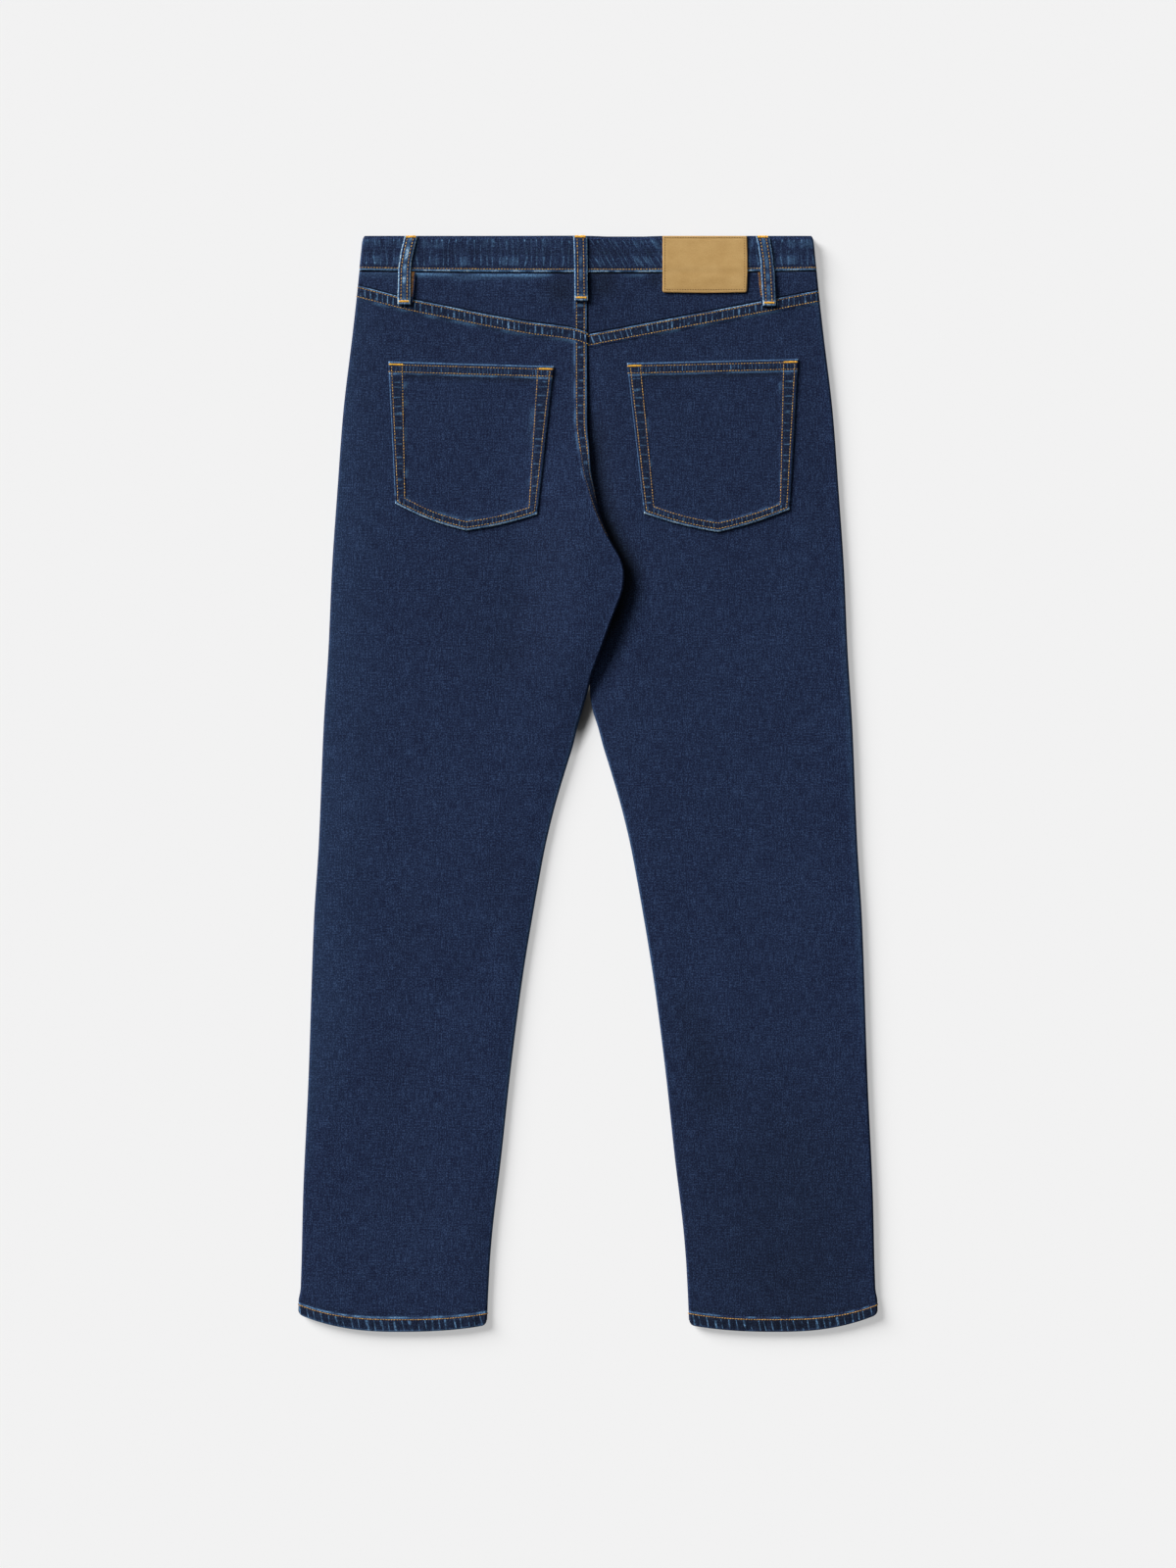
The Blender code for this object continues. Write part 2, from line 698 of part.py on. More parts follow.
def add_waistband(denim):
    outer = []
    inner = []
    for down in (0.0, 1.2, 18.0, BAND_DEPTH - HALF_GAP):
        outer_row, inner_row = band_section(down)
        pinch = 0.4 if down == 0.0 else 0.0
        outer.append([])
        inner.append([])
        for out, into in zip(outer_row, inner_row):
            near = (mix(out[0], into[0], pinch / BAND_CLOTH), mix(out[1], into[1], pinch / BAND_CLOTH))
            far = (mix(into[0], out[0], pinch / BAND_CLOTH), mix(into[1], out[1], pinch / BAND_CLOTH))
            outer[-1].append(spot(near[0], down, near[1]))
            inner[-1].append(spot(far[0], down, far[1]))
    band = add_object("waistband", wall_mesh("waistband", outer, inner), denim)
    hole = round_slot(BUTTON_X, BUTTON_DOWN, BUTTONHOLE_LENGTH, BUTTONHOLE_WIDTH, 6)
    middle = band_bottom(BUTTON_X, BUTTON_DOWN) + BAND_CLOTH
    cut(band, prism("buttonhole", hole, 0.5, middle + UNDERLAP_GAP / 2, denim))


def add_pockets(outers, denim):
    """Patch pockets: the back panel's outer face moved out, cut to the pocket's outline."""
    for side, pocket in zip((LEFT, RIGHT), POCKETS):
        face = outers[side][4:20]
        low = [[(x, y, z + GAP * MM) for x, y, z in row] for row in face]
        high = [[(x, y, z + (GAP + POCKET_CLOTH) * MM) for x, y, z in row] for row in face]
        body = add_object(pocket.name, wall_mesh(pocket.name, high, low), denim)
        outline = prism(pocket.name + "_outline", pocket[1:], -5.0, 40.0, denim)
        modifier = body.modifiers.new("outline", "BOOLEAN")
        modifier.operation = "INTERSECT"
        modifier.object = outline
        apply_modifiers(body)
        bpy.data.objects.remove(outline)


def add_patch(leather):
    """Leather patch over the waistband and the yoke."""
    outer = []
    inner = []
    seam_down = BAND_DEPTH
    for down in (PATCH_TOP, 12.0, 24.0, seam_down, 44.0, 51.0, PATCH_BOTTOM - 2, PATCH_BOTTOM):
        corner = PATCH_CORNER * (down == PATCH_BOTTOM) * 0.6
        outer_row = []
        inner_row = []
        for share in (0.0, 0.02, 0.25, 0.5, 0.75, 0.98, 1.0):
            x = mix(PATCH_LEFT + corner, PATCH_RIGHT - corner, share)
            over_band = band_top(x, min(down, seam_down))
            low = over_band + 0.35
            if down > seam_down:
                end = back_height(RIGHT, x, PATCH_BOTTOM) + 0.45
                start = band_top(x, seam_down) + 0.35
                low = mix(start, end, (down - seam_down) / (PATCH_BOTTOM - seam_down))
            inner_row.append(spot(x, down, low))
            outer_row.append(spot(x, down, low + PATCH_CLOTH))
        outer.append(outer_row)
        inner.append(inner_row)
    add_object("patch", wall_mesh("patch", outer, inner), leather)


def strip_faces(path, cloth):
    """Both faces of a strip that follows a (down, height) path."""
    upper = []
    lower = []
    for k, (down, height) in enumerate(path):
        before = path[max(k - 1, 0)]
        after = path[min(k + 1, len(path) - 1)]
        run = math.hypot(after[0] - before[0], after[1] - before[1])
        normal = ((after[1] - before[1]) / run, -(after[0] - before[0]) / run)
        upper.append((down + normal[0] * cloth / 2, height + normal[1] * cloth / 2))
        lower.append((down - normal[0] * cloth / 2, height - normal[1] * cloth / 2))
    return upper, lower


def loop_centre(loop, down):
    """X of a loop's upper layer."""
    if down < BAND_DEPTH:
        return mix(loop.x_top, loop.x_seam, ease((0.0, BAND_DEPTH), down))
    return mix(loop.x_seam, loop.x_fold, (down - BAND_DEPTH) / (loop.fold_down - BAND_DEPTH))


def add_back_loop(loop, denim):
    """A belt loop: a tail down from the waistband seam, a fold, then up over the waistband."""
    side = LEFT if loop.x_seam < 0 else RIGHT
    half = loop.width / 2

    def under(down):
        reach = [loop_centre(loop, down) + share * (half + abs(loop.tail_shift)) for share in (-1, 0, 1)]
        top = max(back_height(side, x, down) for x in reach)
        at_centre = abs(loop.x_seam) < FELL_WIDTH + half
        near_yoke_seam = down > yoke_seam(side, loop.x_fold) - 2 * half
        fell = FELL_RISE if at_centre or near_yoke_seam else 0.0
        return top + fell + LOOP_CLEARANCE

    half_cloth = LOOP_CLOTH / 2
    turn = LOOP_CLOTH + GAP
    turn_down = loop.fold_down - half_cloth - turn / 2
    path = [(down, under(down) + half_cloth) for down in (BAND_DEPTH + 0.8, 46.0, 56.0, turn_down)]
    base = under(turn_down) + half_cloth
    for angle in (45, 90, 135):
        swing = math.radians(angle)
        path.append((
            turn_down + turn / 2 * math.sin(swing),
            base + turn / 2 * (1 - math.cos(swing)),
        ))
    path += [(down, under(down) + half_cloth + turn) for down in (turn_down, 56.0, 46.0, 38.0)]
    tail_count = len(path) - 4
    for down in (33.0, 25.0, 16.0, 8.0, 3.0, LOOP_TOP):
        bulge = LOOP_BULGE * math.sin(math.pi * min(down / BAND_DEPTH, 1.0))
        x = loop_centre(loop, down)
        top = max(band_top(x - half, down), band_top(x, down), band_top(x + half, down))
        path.append((down, top + LOOP_CLEARANCE + half_cloth + bulge))
    upper, lower = strip_faces(path, LOOP_CLOTH)
    outer = []
    inner = []
    for k, (near, far) in enumerate(zip(lower, upper)):
        shift = loop.tail_shift * (1 - ease((0, tail_count), k))
        row = []
        inside = []
        for share in (-1, 1):
            x = loop_centre(loop, path[k][0]) + shift + share * half
            row.append(spot(x, near[0], near[1]))
            inside.append(spot(x, far[0], far[1]))
        outer.append(row)
        inner.append(inside)
    add_object(loop.name, wall_mesh(loop.name, outer, inner), denim)


def add_front_loop(loop, denim):
    """A belt loop of the front, flat between the waistband and the floor."""
    outer = []
    inner = []
    for down in (LOOP_TOP, 12.0, 24.0, BAND_DEPTH, 52.0, loop.fold_down):
        x = loop_centre(loop, down)
        outer.append([spot(x + share * loop.width / 2, down, 0.0) for share in (-1, 1)])
        inner.append([spot(x + share * loop.width / 2, down, LOOP_CLOTH) for share in (-1, 1)])
    add_object(loop.name, wall_mesh(loop.name, outer, inner), denim)


def add_facing(side, word, denim):
    """The cloth behind a front pocket's scoop, sewn in at the side seam."""
    outer = []
    inner = []
    top = BAND_DEPTH + HALF_GAP
    distances = (FACING_START, 103.0, 108.0, 118.0, 135.0, 160.0, 190.0, 214.0)
    for share in (0.0, 0.3, 0.6, 0.8, 0.9, 1.0):
        outer_row = []
        inner_row = []
        for distance in distances + tuple(reversed(FRONT_ROLL_ANGLES)):
            rolled = distance in FRONT_ROLL_ANGLES
            flat = 0.0 if rolled else 1.0
            down = top
            for _ in range(3):
                edge = side_seam(down)
                place = edge - roll(FRONT_ROLL, distance)[0] if rolled else distance
                low_edge = scoop(side, place) + FACING_LAP * flat - GAP * (1 - flat)
                down = mix(top, max(low_edge, top + 2 * FACING_LAP), share)
            x = side * place
            level = front_stand(x, down) + CLOTH + FACING_GAP
            if rolled:
                seam = seam_height(down) - HALF_GAP
                up = roll(FRONT_ROLL, distance)[1]
                inside = edge - FACING_CLOTH - roll(FRONT_ROLL - FACING_CLOTH, distance)[0]
                outer_row.append(spot(x, down, mix(seam, level, up)))
                inner_row.append(spot(side * inside, down, mix(seam, level + FACING_CLOTH, up)))
            else:
                outer_row.append(spot(x, down, level))
                inner_row.append(spot(x, down, level + FACING_CLOTH))
        outer.append(outer_row)
        inner.append(inner_row)
    name = "pocket_facing_" + word
    add_object(name, wall_mesh(name, outer, inner), denim)


def add_button(metal):
    """Tack button: a domed cap on the floor and its shank up through the buttonhole."""
    shank_top = band_bottom(BUTTON_X, BUTTON_DOWN) + BAND_CLOTH
    profile = (
        (0.0, 0.0), (5.6, 0.0), (7.6, 0.25), (BUTTON_RADIUS, 0.9), (BUTTON_RADIUS, 1.2),
        (BUTTON_RADIUS - 0.5, BUTTON_CAP), (SHANK_RADIUS, BUTTON_CAP),
        (SHANK_RADIUS, shank_top), (0.0, shank_top),
    )
    work = bmesh.new()
    points = [work.verts.new((radius * MM, 0.0, height * MM)) for radius, height in profile]
    edges = [work.edges.new(pair) for pair in zip(points, points[1:])]
    bmesh.ops.spin(
        work, geom=points + edges, cent=(0, 0, 0), axis=(0, 0, 1),
        angle=math.tau, steps=32, use_merge=True,
    )
    bmesh.ops.remove_doubles(work, verts=work.verts, dist=0.00001)
    bmesh.ops.recalc_face_normals(work, faces=work.faces)
    mesh = bpy.data.meshes.new("button")
    work.to_mesh(mesh)
    work.free()
    mesh.shade_smooth()
    mesh.set_sharp_from_angle(angle=math.radians(35))
    button = add_object("button", mesh, metal)
    button.location = spot(BUTTON_X, BUTTON_DOWN, 0.0)


def new_material(name, colour, roughness, metallic):
    material = bpy.data.materials.new(name)
    material.use_nodes = True
    shader = material.node_tree.nodes["Principled BSDF"]
    shader.inputs["Base Color"].default_value = (*colour, 1.0)
    shader.inputs["Roughness"].default_value = roughness
    shader.inputs["Metallic"].default_value = metallic
    return material


def main():
    for old in list(bpy.data.objects):
        bpy.data.objects.remove(old)
    denim = new_material("indigo denim", (0.017, 0.027, 0.070), 0.9, 0.0)
    leather = new_material("tan leather", (0.50, 0.32, 0.13), 0.7, 0.0)
    metal = new_material("aged copper", (0.55, 0.27, 0.12), 0.35, 1.0)
    outers = add_backs(denim)
    add_fronts(denim)
    add_waistband(denim)
    add_pockets(outers, denim)
    add_patch(leather)
    for loop in BACK_LOOPS:
        add_back_loop(loop, denim)
    for loop in FRONT_LOOPS:
        add_front_loop(loop, denim)
    for side, word in ((LEFT, "left"), (RIGHT, "right")):
        add_facing(side, word, denim)
    add_button(metal)


main()
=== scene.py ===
"""Straight leg jeans, laid flat with the back up: the cloth, its sewing and its finishes.

Sizes are in millimetres until a mesh is made. X runs across, the wearer's left at -X, and
Z is up from the floor. "down" is the distance below the waistband's top edge.
"""

import math
from collections import namedtuple
from functools import lru_cache

import bpy
import numpy as np
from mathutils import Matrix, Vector
from mathutils.bvhtree import BVHTree


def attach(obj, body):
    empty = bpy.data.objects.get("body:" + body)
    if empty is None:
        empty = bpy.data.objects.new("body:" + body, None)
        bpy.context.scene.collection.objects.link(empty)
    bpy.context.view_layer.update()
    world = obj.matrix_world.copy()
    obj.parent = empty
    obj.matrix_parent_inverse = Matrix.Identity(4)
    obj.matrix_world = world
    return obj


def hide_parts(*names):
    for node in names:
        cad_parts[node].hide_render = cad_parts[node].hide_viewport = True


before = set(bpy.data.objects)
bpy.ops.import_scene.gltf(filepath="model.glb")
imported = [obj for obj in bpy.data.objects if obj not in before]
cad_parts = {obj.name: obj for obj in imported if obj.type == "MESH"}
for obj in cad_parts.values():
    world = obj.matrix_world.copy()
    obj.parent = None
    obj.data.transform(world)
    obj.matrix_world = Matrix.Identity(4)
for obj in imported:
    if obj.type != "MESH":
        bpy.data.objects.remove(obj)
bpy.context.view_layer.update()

MM = 0.001
LEFT = -1
RIGHT = 1
SIDES = ((LEFT, "left"), (RIGHT, "right"))

# ---------------------------------------------------------------- the garment's sizes

LENGTH = 1118.0
CLOTH = 1.5
GAP = 0.3
HALF_GAP = GAP / 2
BAND_DEPTH = 36.5
BAND_CLOTH = 2.4
HEM_CLOTH = 2.3
HEM_RISE = 0.5
CROTCH = 345
BACK_ROLL = 2.7
FRONT_ROLL = 6.0
SEAM_SHARE = 0.42
EDGE_FALL = 0.8
EDGE_FALL_WIDTH = 24.0
INSEAM_FALL = (430, 560)

# Side seam: (down, distance from the centre line)
SIDE_SEAM = (
    (0, 230.0), (35, 233.5), (60, 236.0), (100, 240.5), (180, 250.0), (260, 256.0), (340, 261.5),
    (420, 265.0), (500, 270.0), (620, 275.0), (700, 280.0), (860, 285.5), (980, 291.0),
    (1074, 293.5), (1087, 295.6), (1118, 296.0),
)

# Inseam below the crotch: (down, distance from the centre line)
INSEAM = (
    (520, 15.3), (540, 21.5), (580, 33.3), (620, 43.0), (660, 50.6), (700, 57.6), (740, 64.2),
    (780, 70.0), (860, 80.0), (940, 88.6), (1020, 98.0), (1060, 101.0), (1118, 103.5),
)

# Inner edges from the waist to the crotch: (down, x). The left leg laps over the right.
LEFT_BACK_EDGE = (
    (0, -0.65), (190, -0.65), (215, 1.3), (240, 3.2), (258, 7.0), (278, 10.6), (293, 15.4),
    (305, 20.2), (319, 27.6), (331, 34.2), (345, 37.3), (357, 36.5), (374, 31.4), (390, 25.0),
    (408, 18.7), (429, 11.0), (446, 4.6), (466, -0.5), (483, -5.5), (500, -10.5),
)
RIGHT_BACK_EDGE = (
    (0, -0.35), (160, -0.35), (190, -0.3), (215, 0.2), (240, 1.2), (258, 2.6), (278, 4.9),
    (293, 9.6), (305, 11.0), (319, 10.0), (331, 9.0), (345, 8.0), (374, 8.0), (408, 4.0),
    (446, 1.5), (466, 2.0), (483, 4.6), (500, 10.0),
)
LEFT_FRONT_EDGE = (
    (0, -0.65), (215, -0.65), (240, -0.2), (258, 1.2), (278, 3.8), (293, 9.2), (305, 16.5),
    (319, 24.5), (331, 31.5), (345, 37.3),
)
RIGHT_FRONT_EDGE = (
    (0, -0.35), (215, -0.35), (240, 0.1), (258, 1.0), (278, 3.0), (293, 5.0), (305, 6.0),
    (319, 7.0), (331, 7.5), (345, 8.0),
)

# Height of the back above the floor: (down, height)
THICKNESS = (
    (0, 8.1), (37, 8.0), (70, 7.6), (100, 7.0), (130, 6.65), (160, 6.5), (200, 6.4), (1118, 6.4),
)

# How far the left leg rises over the right one: (down, rise), full from LAP_EDGE on
LEFT_RISE = (
    (100, 0.0), (160, 0.9), (190, 1.8), (220, 3.2), (258, 5.6), (278, 7.0), (305, 8.6), (331, 9.3),
    (380, 9.3), (408, 8.8), (429, 7.2), (446, 5.4), (466, 2.8), (486, 1.0), (520, 0.0),
)
LAP_EDGE = ((0, -4.0), (258, -3.0), (305, 3.0), (345, 5.0), (408, 1.0), (446, -2.0), (520, -20.0))
RISE_WIDTH = 85.0

# How far the right back sinks beside the left one: (down, depth) and (down, width)
RIGHT_DIP = (
    (80, 0.0), (130, 0.6), (160, 1.0), (200, 1.7), (258, 2.6), (305, 2.9), (345, 2.9), (440, 2.7),
    (480, 1.4), (520, 0.0),
)
DIP_WIDTH = ((80, 25.0), (260, 32.0), (345, 45.0), (520, 45.0))

# Lower end of the left back's lip, where it lies on the right back: (down, height). The right
# back fills the space under the lip, from its own edge to LIP_FILL inside the lip's
LIP_END = (
    (190, 5.4), (258, 4.7), (278, 5.6), (293, 7.8), (305, 9.8), (319, 11.3), (331, 11.9), (345, 12.14),
)
LIP_SPACE = 0.35
LIP_FILL = 9.0
LIP_FILL_LEAST = 1.4
LIP_FILL_SHARE = 0.5
LIP_FILL_RUN = (228, 458, 10)

# Where the inner edges start to roll down, and are rolled fully
BACK_EDGE_ROLL = {LEFT: (200, 320), RIGHT: (315, 345)}
FRONT_EDGE_ROLL = (319, 345)

# Where the right back's edge is tucked under the left back's
TUCK_LEAST = 0.6
TUCK_ROOM = 0.15
TUCK_WIDTH = (-0.3, 1.3)
TUCK_END = (212, 232)

# Stack at the waist: the front stands on its loops and button
FRONT_STAND = 2.0
STAND_SIDE = (150, 222)
STAND_END = (75, 130)
BUTTON_STAND = 0.7
BUTTON_STAND_WIDTH = 50.0
BUTTON_STAND_END = (30, 95)
THREAD_ROOM = 0.25
BAND_STAND_SHARE = 0.75
CENTRE_HUMP = 1.5
CENTRE_HUMP_X = -12.0
CENTRE_HUMP_WIDTH = 60.0
CENTRE_HUMP_END = (36, 110)
BAND_RISE = 0.8
BAND_SAG = 2.4
BAND_SAG_MIDDLE = 0.9
BAND_HALF = 236.0

# Yoke seam: (distance from the centre line, down), and its two rows of sewing below it
YOKE_SEAM = {
    LEFT: (
        (0, 98.5), (13, 94.2), (30, 91.4), (55, 88.4), (81, 84.0), (108, 79.0), (142, 72.0),
        (180, 64.4), (240, 49.0),
    ),
    RIGHT: ((0, 100.4), (120, 77.5), (240, 54.6)),
}
YOKE_ROWS = {LEFT: (2.1, 11.5), RIGHT: (2.0, 11.0)}

# Distance between puckers along the yoke seam, the hems, the pockets and the waistband, and how
# slowly a pucker changes along itself
SEAM_PUCKERS = 5.6
HEM_PUCKERS = 7.4
HEM_PUCKER_LEAN = 0.2
MOUTH_PUCKERS = 3.6
SIDE_PUCKERS = 8.4
FOOT_PUCKERS = 5.0
BAND_PUCKERS = 6.4
PUCKER_RUN = 0.12

# Felled seams: the folded edge stands above the cloth beside it
FELL_RISE = 0.7
FELL_START = 0.4
FELL_END = (300, 500)

# The centre back's two rows of sewing: (down, distance from the folded edge), and the stretches
# of them on each piece, the lowest one in a darker thread, as painted shade
CENTRE_ROW_OUTER = ((37, 3.1), (190, 3.1), (218, 2.2), (248, 1.6), (262, 1.3), (276, 0.3))
CENTRE_ROW_INNER = (
    (37, 10.9), (160, 10.9), (190, 10.4), (208, 9.9), (227, 8.3), (239, 7.6), (250, 7.0),
    (262, 5.9), (273, 4.5), (283, 3.2), (292, 2.4), (305, 1.2), (318, 0.2),
)
CENTRE_ROWS_END = (272.0, 306.0)
CENTRE_STRETCHES = (
    ("centre", "yoke_left", 38.0, 96.5),
    ("centre", "back_left", 110.0, 222.0),
    ("centre_low", "back_left", 222.0, 310.0),
)

# Hem: curved on the back, nearly straight on the front; its sewing is HEM_STITCH above the edge
HEM_MIDDLE = 0.53
HEM_CURVE = 2.4
HEM_DROP_OUTER = 18.0
HEM_DROP_INNER = 9.0
FRONT_HEM_OUTER = 1100.0
FRONT_HEM_INNER = 1108.5
FRONT_HEM_SAG = 3.0
HEM_ROW = ((0.0, 9.8), (0.5, 12.4), (1.0, 11.7))
HEM_STITCH = 12.4
HEM_CORNER = 5.0

# Front pocket scoop: a quarter ellipse from the waistband to the side seam
SCOOP_TOP = BAND_DEPTH + HALF_GAP
SCOOP_START = 105.0
SCOOP_WIDTH = 128.0
SCOOP_DEPTH = 75.0
SCOOP_ROW_END = 238.0
SCOOP_ROWS = (2.0, 8.0)

# Large soft folds of the back: ends of the crest or trough, half width and height
Fold = namedtuple("Fold", "x_start down_start x_end down_end width height")
FOLDS = (
    Fold(-50, 580, -105, 770, 28, -0.45),
    Fold(-105, 770, -190, 800, 22, -0.35),
    Fold(-150, 310, -70, 400, 45, -0.40),
    Fold(-200, 870, -190, 1010, 40, -0.40),
    Fold(110, 530, 145, 800, 26, 0.45),
    Fold(75, 700, 140, 890, 32, -0.50),
    Fold(195, 880, 205, 1080, 45, -0.45),
    Fold(215, 160, 250, 330, 28, -0.35),
    Fold(-215, 420, -225, 640, 26, 0.40),
)

# Finer creases of the back
CREASES = (
    Fold(-92, 700, -150, 785, 9, -0.28),
    Fold(-190, 794, -112, 801, 5, -0.22),
    Fold(-60, 640, -84, 730, 12, 0.25),
    Fold(92, 792, 146, 886, 10, -0.34),
    Fold(70, 520, 108, 640, 13, 0.28),
    Fold(118, 655, 152, 800, 12, 0.26),
    Fold(-30, 372, -92, 342, 8, 0.22),
    Fold(-34, 396, -100, 420, 10, 0.20),
    Fold(-28, 420, -70, 470, 9, 0.18),
    Fold(-140, 315, -70, 392, 15, -0.30),
    Fold(190, 905, 198, 1040, 12, -0.24),
    Fold(232, 180, 244, 300, 9, -0.25),
    Fold(-206, 890, -198, 985, 11, -0.22),
    Fold(-236, 500, -244, 690, 9, 0.24),
    Fold(60, 352, 108, 330, 10, 0.18),
    Fold(62, 390, 120, 402, 12, 0.16),
    Fold(205, 470, 150, 520, 14, 0.16),
    Fold(-160, 560, -110, 600, 13, 0.15),
    Fold(225, 690, 190, 760, 12, 0.16),
    Fold(-250, 1010, -215, 1060, 10, 0.15),
    Fold(150, 980, 120, 1050, 11, -0.14),
)

# Painted shade on soft folds, and painted light along the outer sides where a height is below 0:
# heights are shares of the deepest blue
PAINTED_SHADE_FOLDS = (
    Fold(102, 790, 130, 872, 22, 0.20),
    Fold(208, 945, 222, 1060, 55, 0.13),
    Fold(150, 1040, 215, 1085, 34, 0.06),
    Fold(-42, 325, -68, 410, 52, 0.16),
    Fold(-110, 300, -150, 380, 30, 0.05),
    Fold(-178, 690, -205, 760, 20, 0.06),
    Fold(-90, 640, -84, 720, 18, 0.08),
    Fold(-200, 850, -190, 990, 30, 0.05),
    Fold(-110, 1010, -112, 1090, 16, 0.05),
    Fold(228, 150, 244, 300, 16, 0.05),
    Fold(-248, 240, -278, 860, 44, -0.016),
    Fold(-234, 90, -242, 180, 24, -0.012),
    Fold(262, 380, 290, 1060, 15, -0.020),
)

# Creases of the front, which lift it off the floor
FRONT_CREASES = (
    Fold(-30, 300, -110, 250, 9, 0.5),
    Fold(-36, 330, -130, 310, 10, 0.45),
    Fold(-40, 360, -120, 380, 11, 0.4),
    Fold(34, 300, 118, 256, 9, 0.5),
    Fold(40, 335, 128, 322, 10, 0.45),
    Fold(44, 366, 116, 392, 11, 0.35),
    Fold(-95, 690, -190, 740, 14, 0.4),
    Fold(-120, 740, -210, 725, 12, 0.35),
    Fold(100, 700, 205, 728, 14, 0.4),
    Fold(112, 752, 190, 780, 12, 0.3),
    Fold(-200, 880, -190, 1010, 20, 0.3),
    Fold(190, 860, 204, 1030, 20, 0.3),
)

# Back pockets: corners (x, down), how far apart the two rows are at the top and the bottom
# of each side, how far each half of the foot bows down, the first seed of its random marks and
# how much painted shade it gets
Pocket = namedtuple(
    "Pocket",
    "side name outer_top inner_top inner_bottom point outer_bottom rows_outer rows_inner bows seed dye",
)
POCKETS = (
    Pocket(LEFT, "pocket_left", (-203.5, 128.0), (-35.2, 133.0), (-51.8, 284.0),
           (-124.0, 300.5), (-196.6, 273.0), (10.9, 7.0), (12.5, 5.8), (2.9, 1.8), 71, 0.0),
    Pocket(RIGHT, "pocket_right", (214.3, 125.5), (39.8, 129.7), (57.2, 283.0),
           (132.7, 302.0), (205.6, 279.0), (11.4, 6.6), (10.2, 7.6), (1.8, 1.9), 81, 0.07),
)
POCKET_CLOTH = 1.4
POCKET_ROW = 3.0
POCKET_BOTTOM_ROWS = 5.4
POCKET_STEP = 2.6
MOUTH_ROWS = (3.4, 10.5)
MOUTH_HEM = 12.5
# A bar tack's ends, from the pocket's upper corner
POCKET_TACK = (1.2, 14.4)

# Leather patch: its edges, how far the right and lower ones bow, and its height over the
# waistband and over the yoke
PATCH_LEFT = 76.0
PATCH_RIGHT = 161.8
PATCH_TOP = 0.3
PATCH_BOTTOM = 57.6
PATCH_BOWS = (0.8, 0.6)
PATCH_CORNER = 1.9
PATCH_CLOTH = 1.3
PATCH_LIFTS = (0.35, 0.45)
PATCH_ROW = 2.6
PATCH_TOP_ROW = 1.6

# Belt loops: centre at the top edge, at the waistband seam and at the fold, then the fold, how
# far the tail under it shows beside it, how far it is rubbed and the first seed of its marks
Loop = namedtuple("Loop", "name x_top x_seam x_fold fold_down width tail_shift rubbed seed")
BACK_LOOPS = (
    Loop("loop_back_left", -180.2, -187.1, -187.6, 70.5, 12.8, 4.5, 2.5, 101),
    Loop("loop_back_centre", -8.0, -7.2, -6.9, 66.8, 13.6, 0.0, 0.6, 111),
    Loop("loop_back_right", 177.8, 183.0, 184.9, 71.9, 13.4, -4.0, 0.7, 121),
)
FRONT_LOOPS = (
    Loop("loop_front_left", -104.0, -105.0, -105.0, 66.0, 12.8, 0.0, 1.0, 141),
    Loop("loop_front_right", 104.0, 105.0, 105.0, 66.0, 12.8, 0.0, 1.0, 151),
)
LOOP_CLOTH = 1.2
LOOP_CLEARANCE = 0.4
LOOP_BULGE = 0.5
LOOP_TOP = 0.6
LOOP_ROW = 3.1

# Pieces folded double, which show the cloth's face on both sides
FOLDED_DOUBLE = ("loop", "waistband")

# Waistband ends at the fly
BUTTONHOLE_END = 4.0
UNDERLAP_STEP = (16.0, 6.0)
UNDERLAP_END = -38.0
UNDERLAP_LIFT = BAND_CLOTH + 0.4

# Tack button: its place, and the outline (radius, height) of its domed cap from the middle,
# with a ringed middle and a raised rim, to the shank
BUTTON_X = -17.0
BUTTON_DOWN = 18.0
BUTTON_STEPS = 48
SHANK_RADIUS = 1.5
BUTTON_OUTLINE = (
    (0.0, 0.25), (1.6, 0.22), (2.4, 0.45), (3.0, 0.5), (3.6, 0.3), (4.6, 0.2), (5.4, 0.28),
    (6.0, 0.1), (6.8, 0.0), (7.6, 0.12), (8.2, 0.45), (8.5, 0.9), (8.5, 1.2), (8.0, 1.6),
    (4.0, 1.6), (SHANK_RADIUS, 1.6),
)

# Facing seen in the front pocket
FACING_CLOTH = 1.2
FACING_START = 92.0
FACING_LAP = 10.0
FACING_GAP = 0.4

# Fly sewing on the front: distance from the centre, where it curves to the centre, and its end
FLY_WIDTH = 38.0
FLY_TURN = 128.0
FLY_END = 182.0
FLY_ROWS = (0.0, 6.0)
FLY_EDGE = 1.2

# Columns of a back panel beside its inner edge, as distances from it, and rows of its mesh
# beside its seams
FELL_IN = np.array((
    0.0, 0.5, 1.0, 1.6, 2.2, 2.8, 3.6, 4.6, 5.8, 7.0, 8.2, 9.4, 10.4, 11.4, 12.2, 13.0, 14.2, 16.0,
))
TUCKED_IN = np.array((
    -1.4, -1.0, -0.6, -0.25, 0.1, 0.5, 1.0, 1.7, 2.8, 4.2, 5.8, 7.4, 9.0, 10.6, 12.0, 13.2, 14.4, 16.0,
))
EDGE_IN = {LEFT: FELL_IN, RIGHT: TUCKED_IN}
SEAM_ROWS = np.array((
    0.0, 0.35, 0.8, 1.3, 1.8, 2.3, 2.9, 3.7, 4.8, 6.2, 7.6, 9.0, 10.0, 10.7, 11.3, 11.9, 12.6,
    13.3, 14.0, 14.9, 16.2, 18.0, 20.5, 24.0, 28.5, 34.0,
))
HEM_ROWS = np.array((
    34.0, 28.0, 23.5, 20.5, 18.5, 17.0, 16.0, 15.2, 14.5, 13.8, 13.1, HEM_STITCH, 11.7, 10.8, 9.6,
    8.2, 6.8, 5.4, 4.0, 2.8, 1.8, 1.0, 0.45, 0.15, 0.0,
))
YOKE_TOP_ROWS = np.array((0.0, 0.4, 0.9, 1.5, 2.3, 3.4))
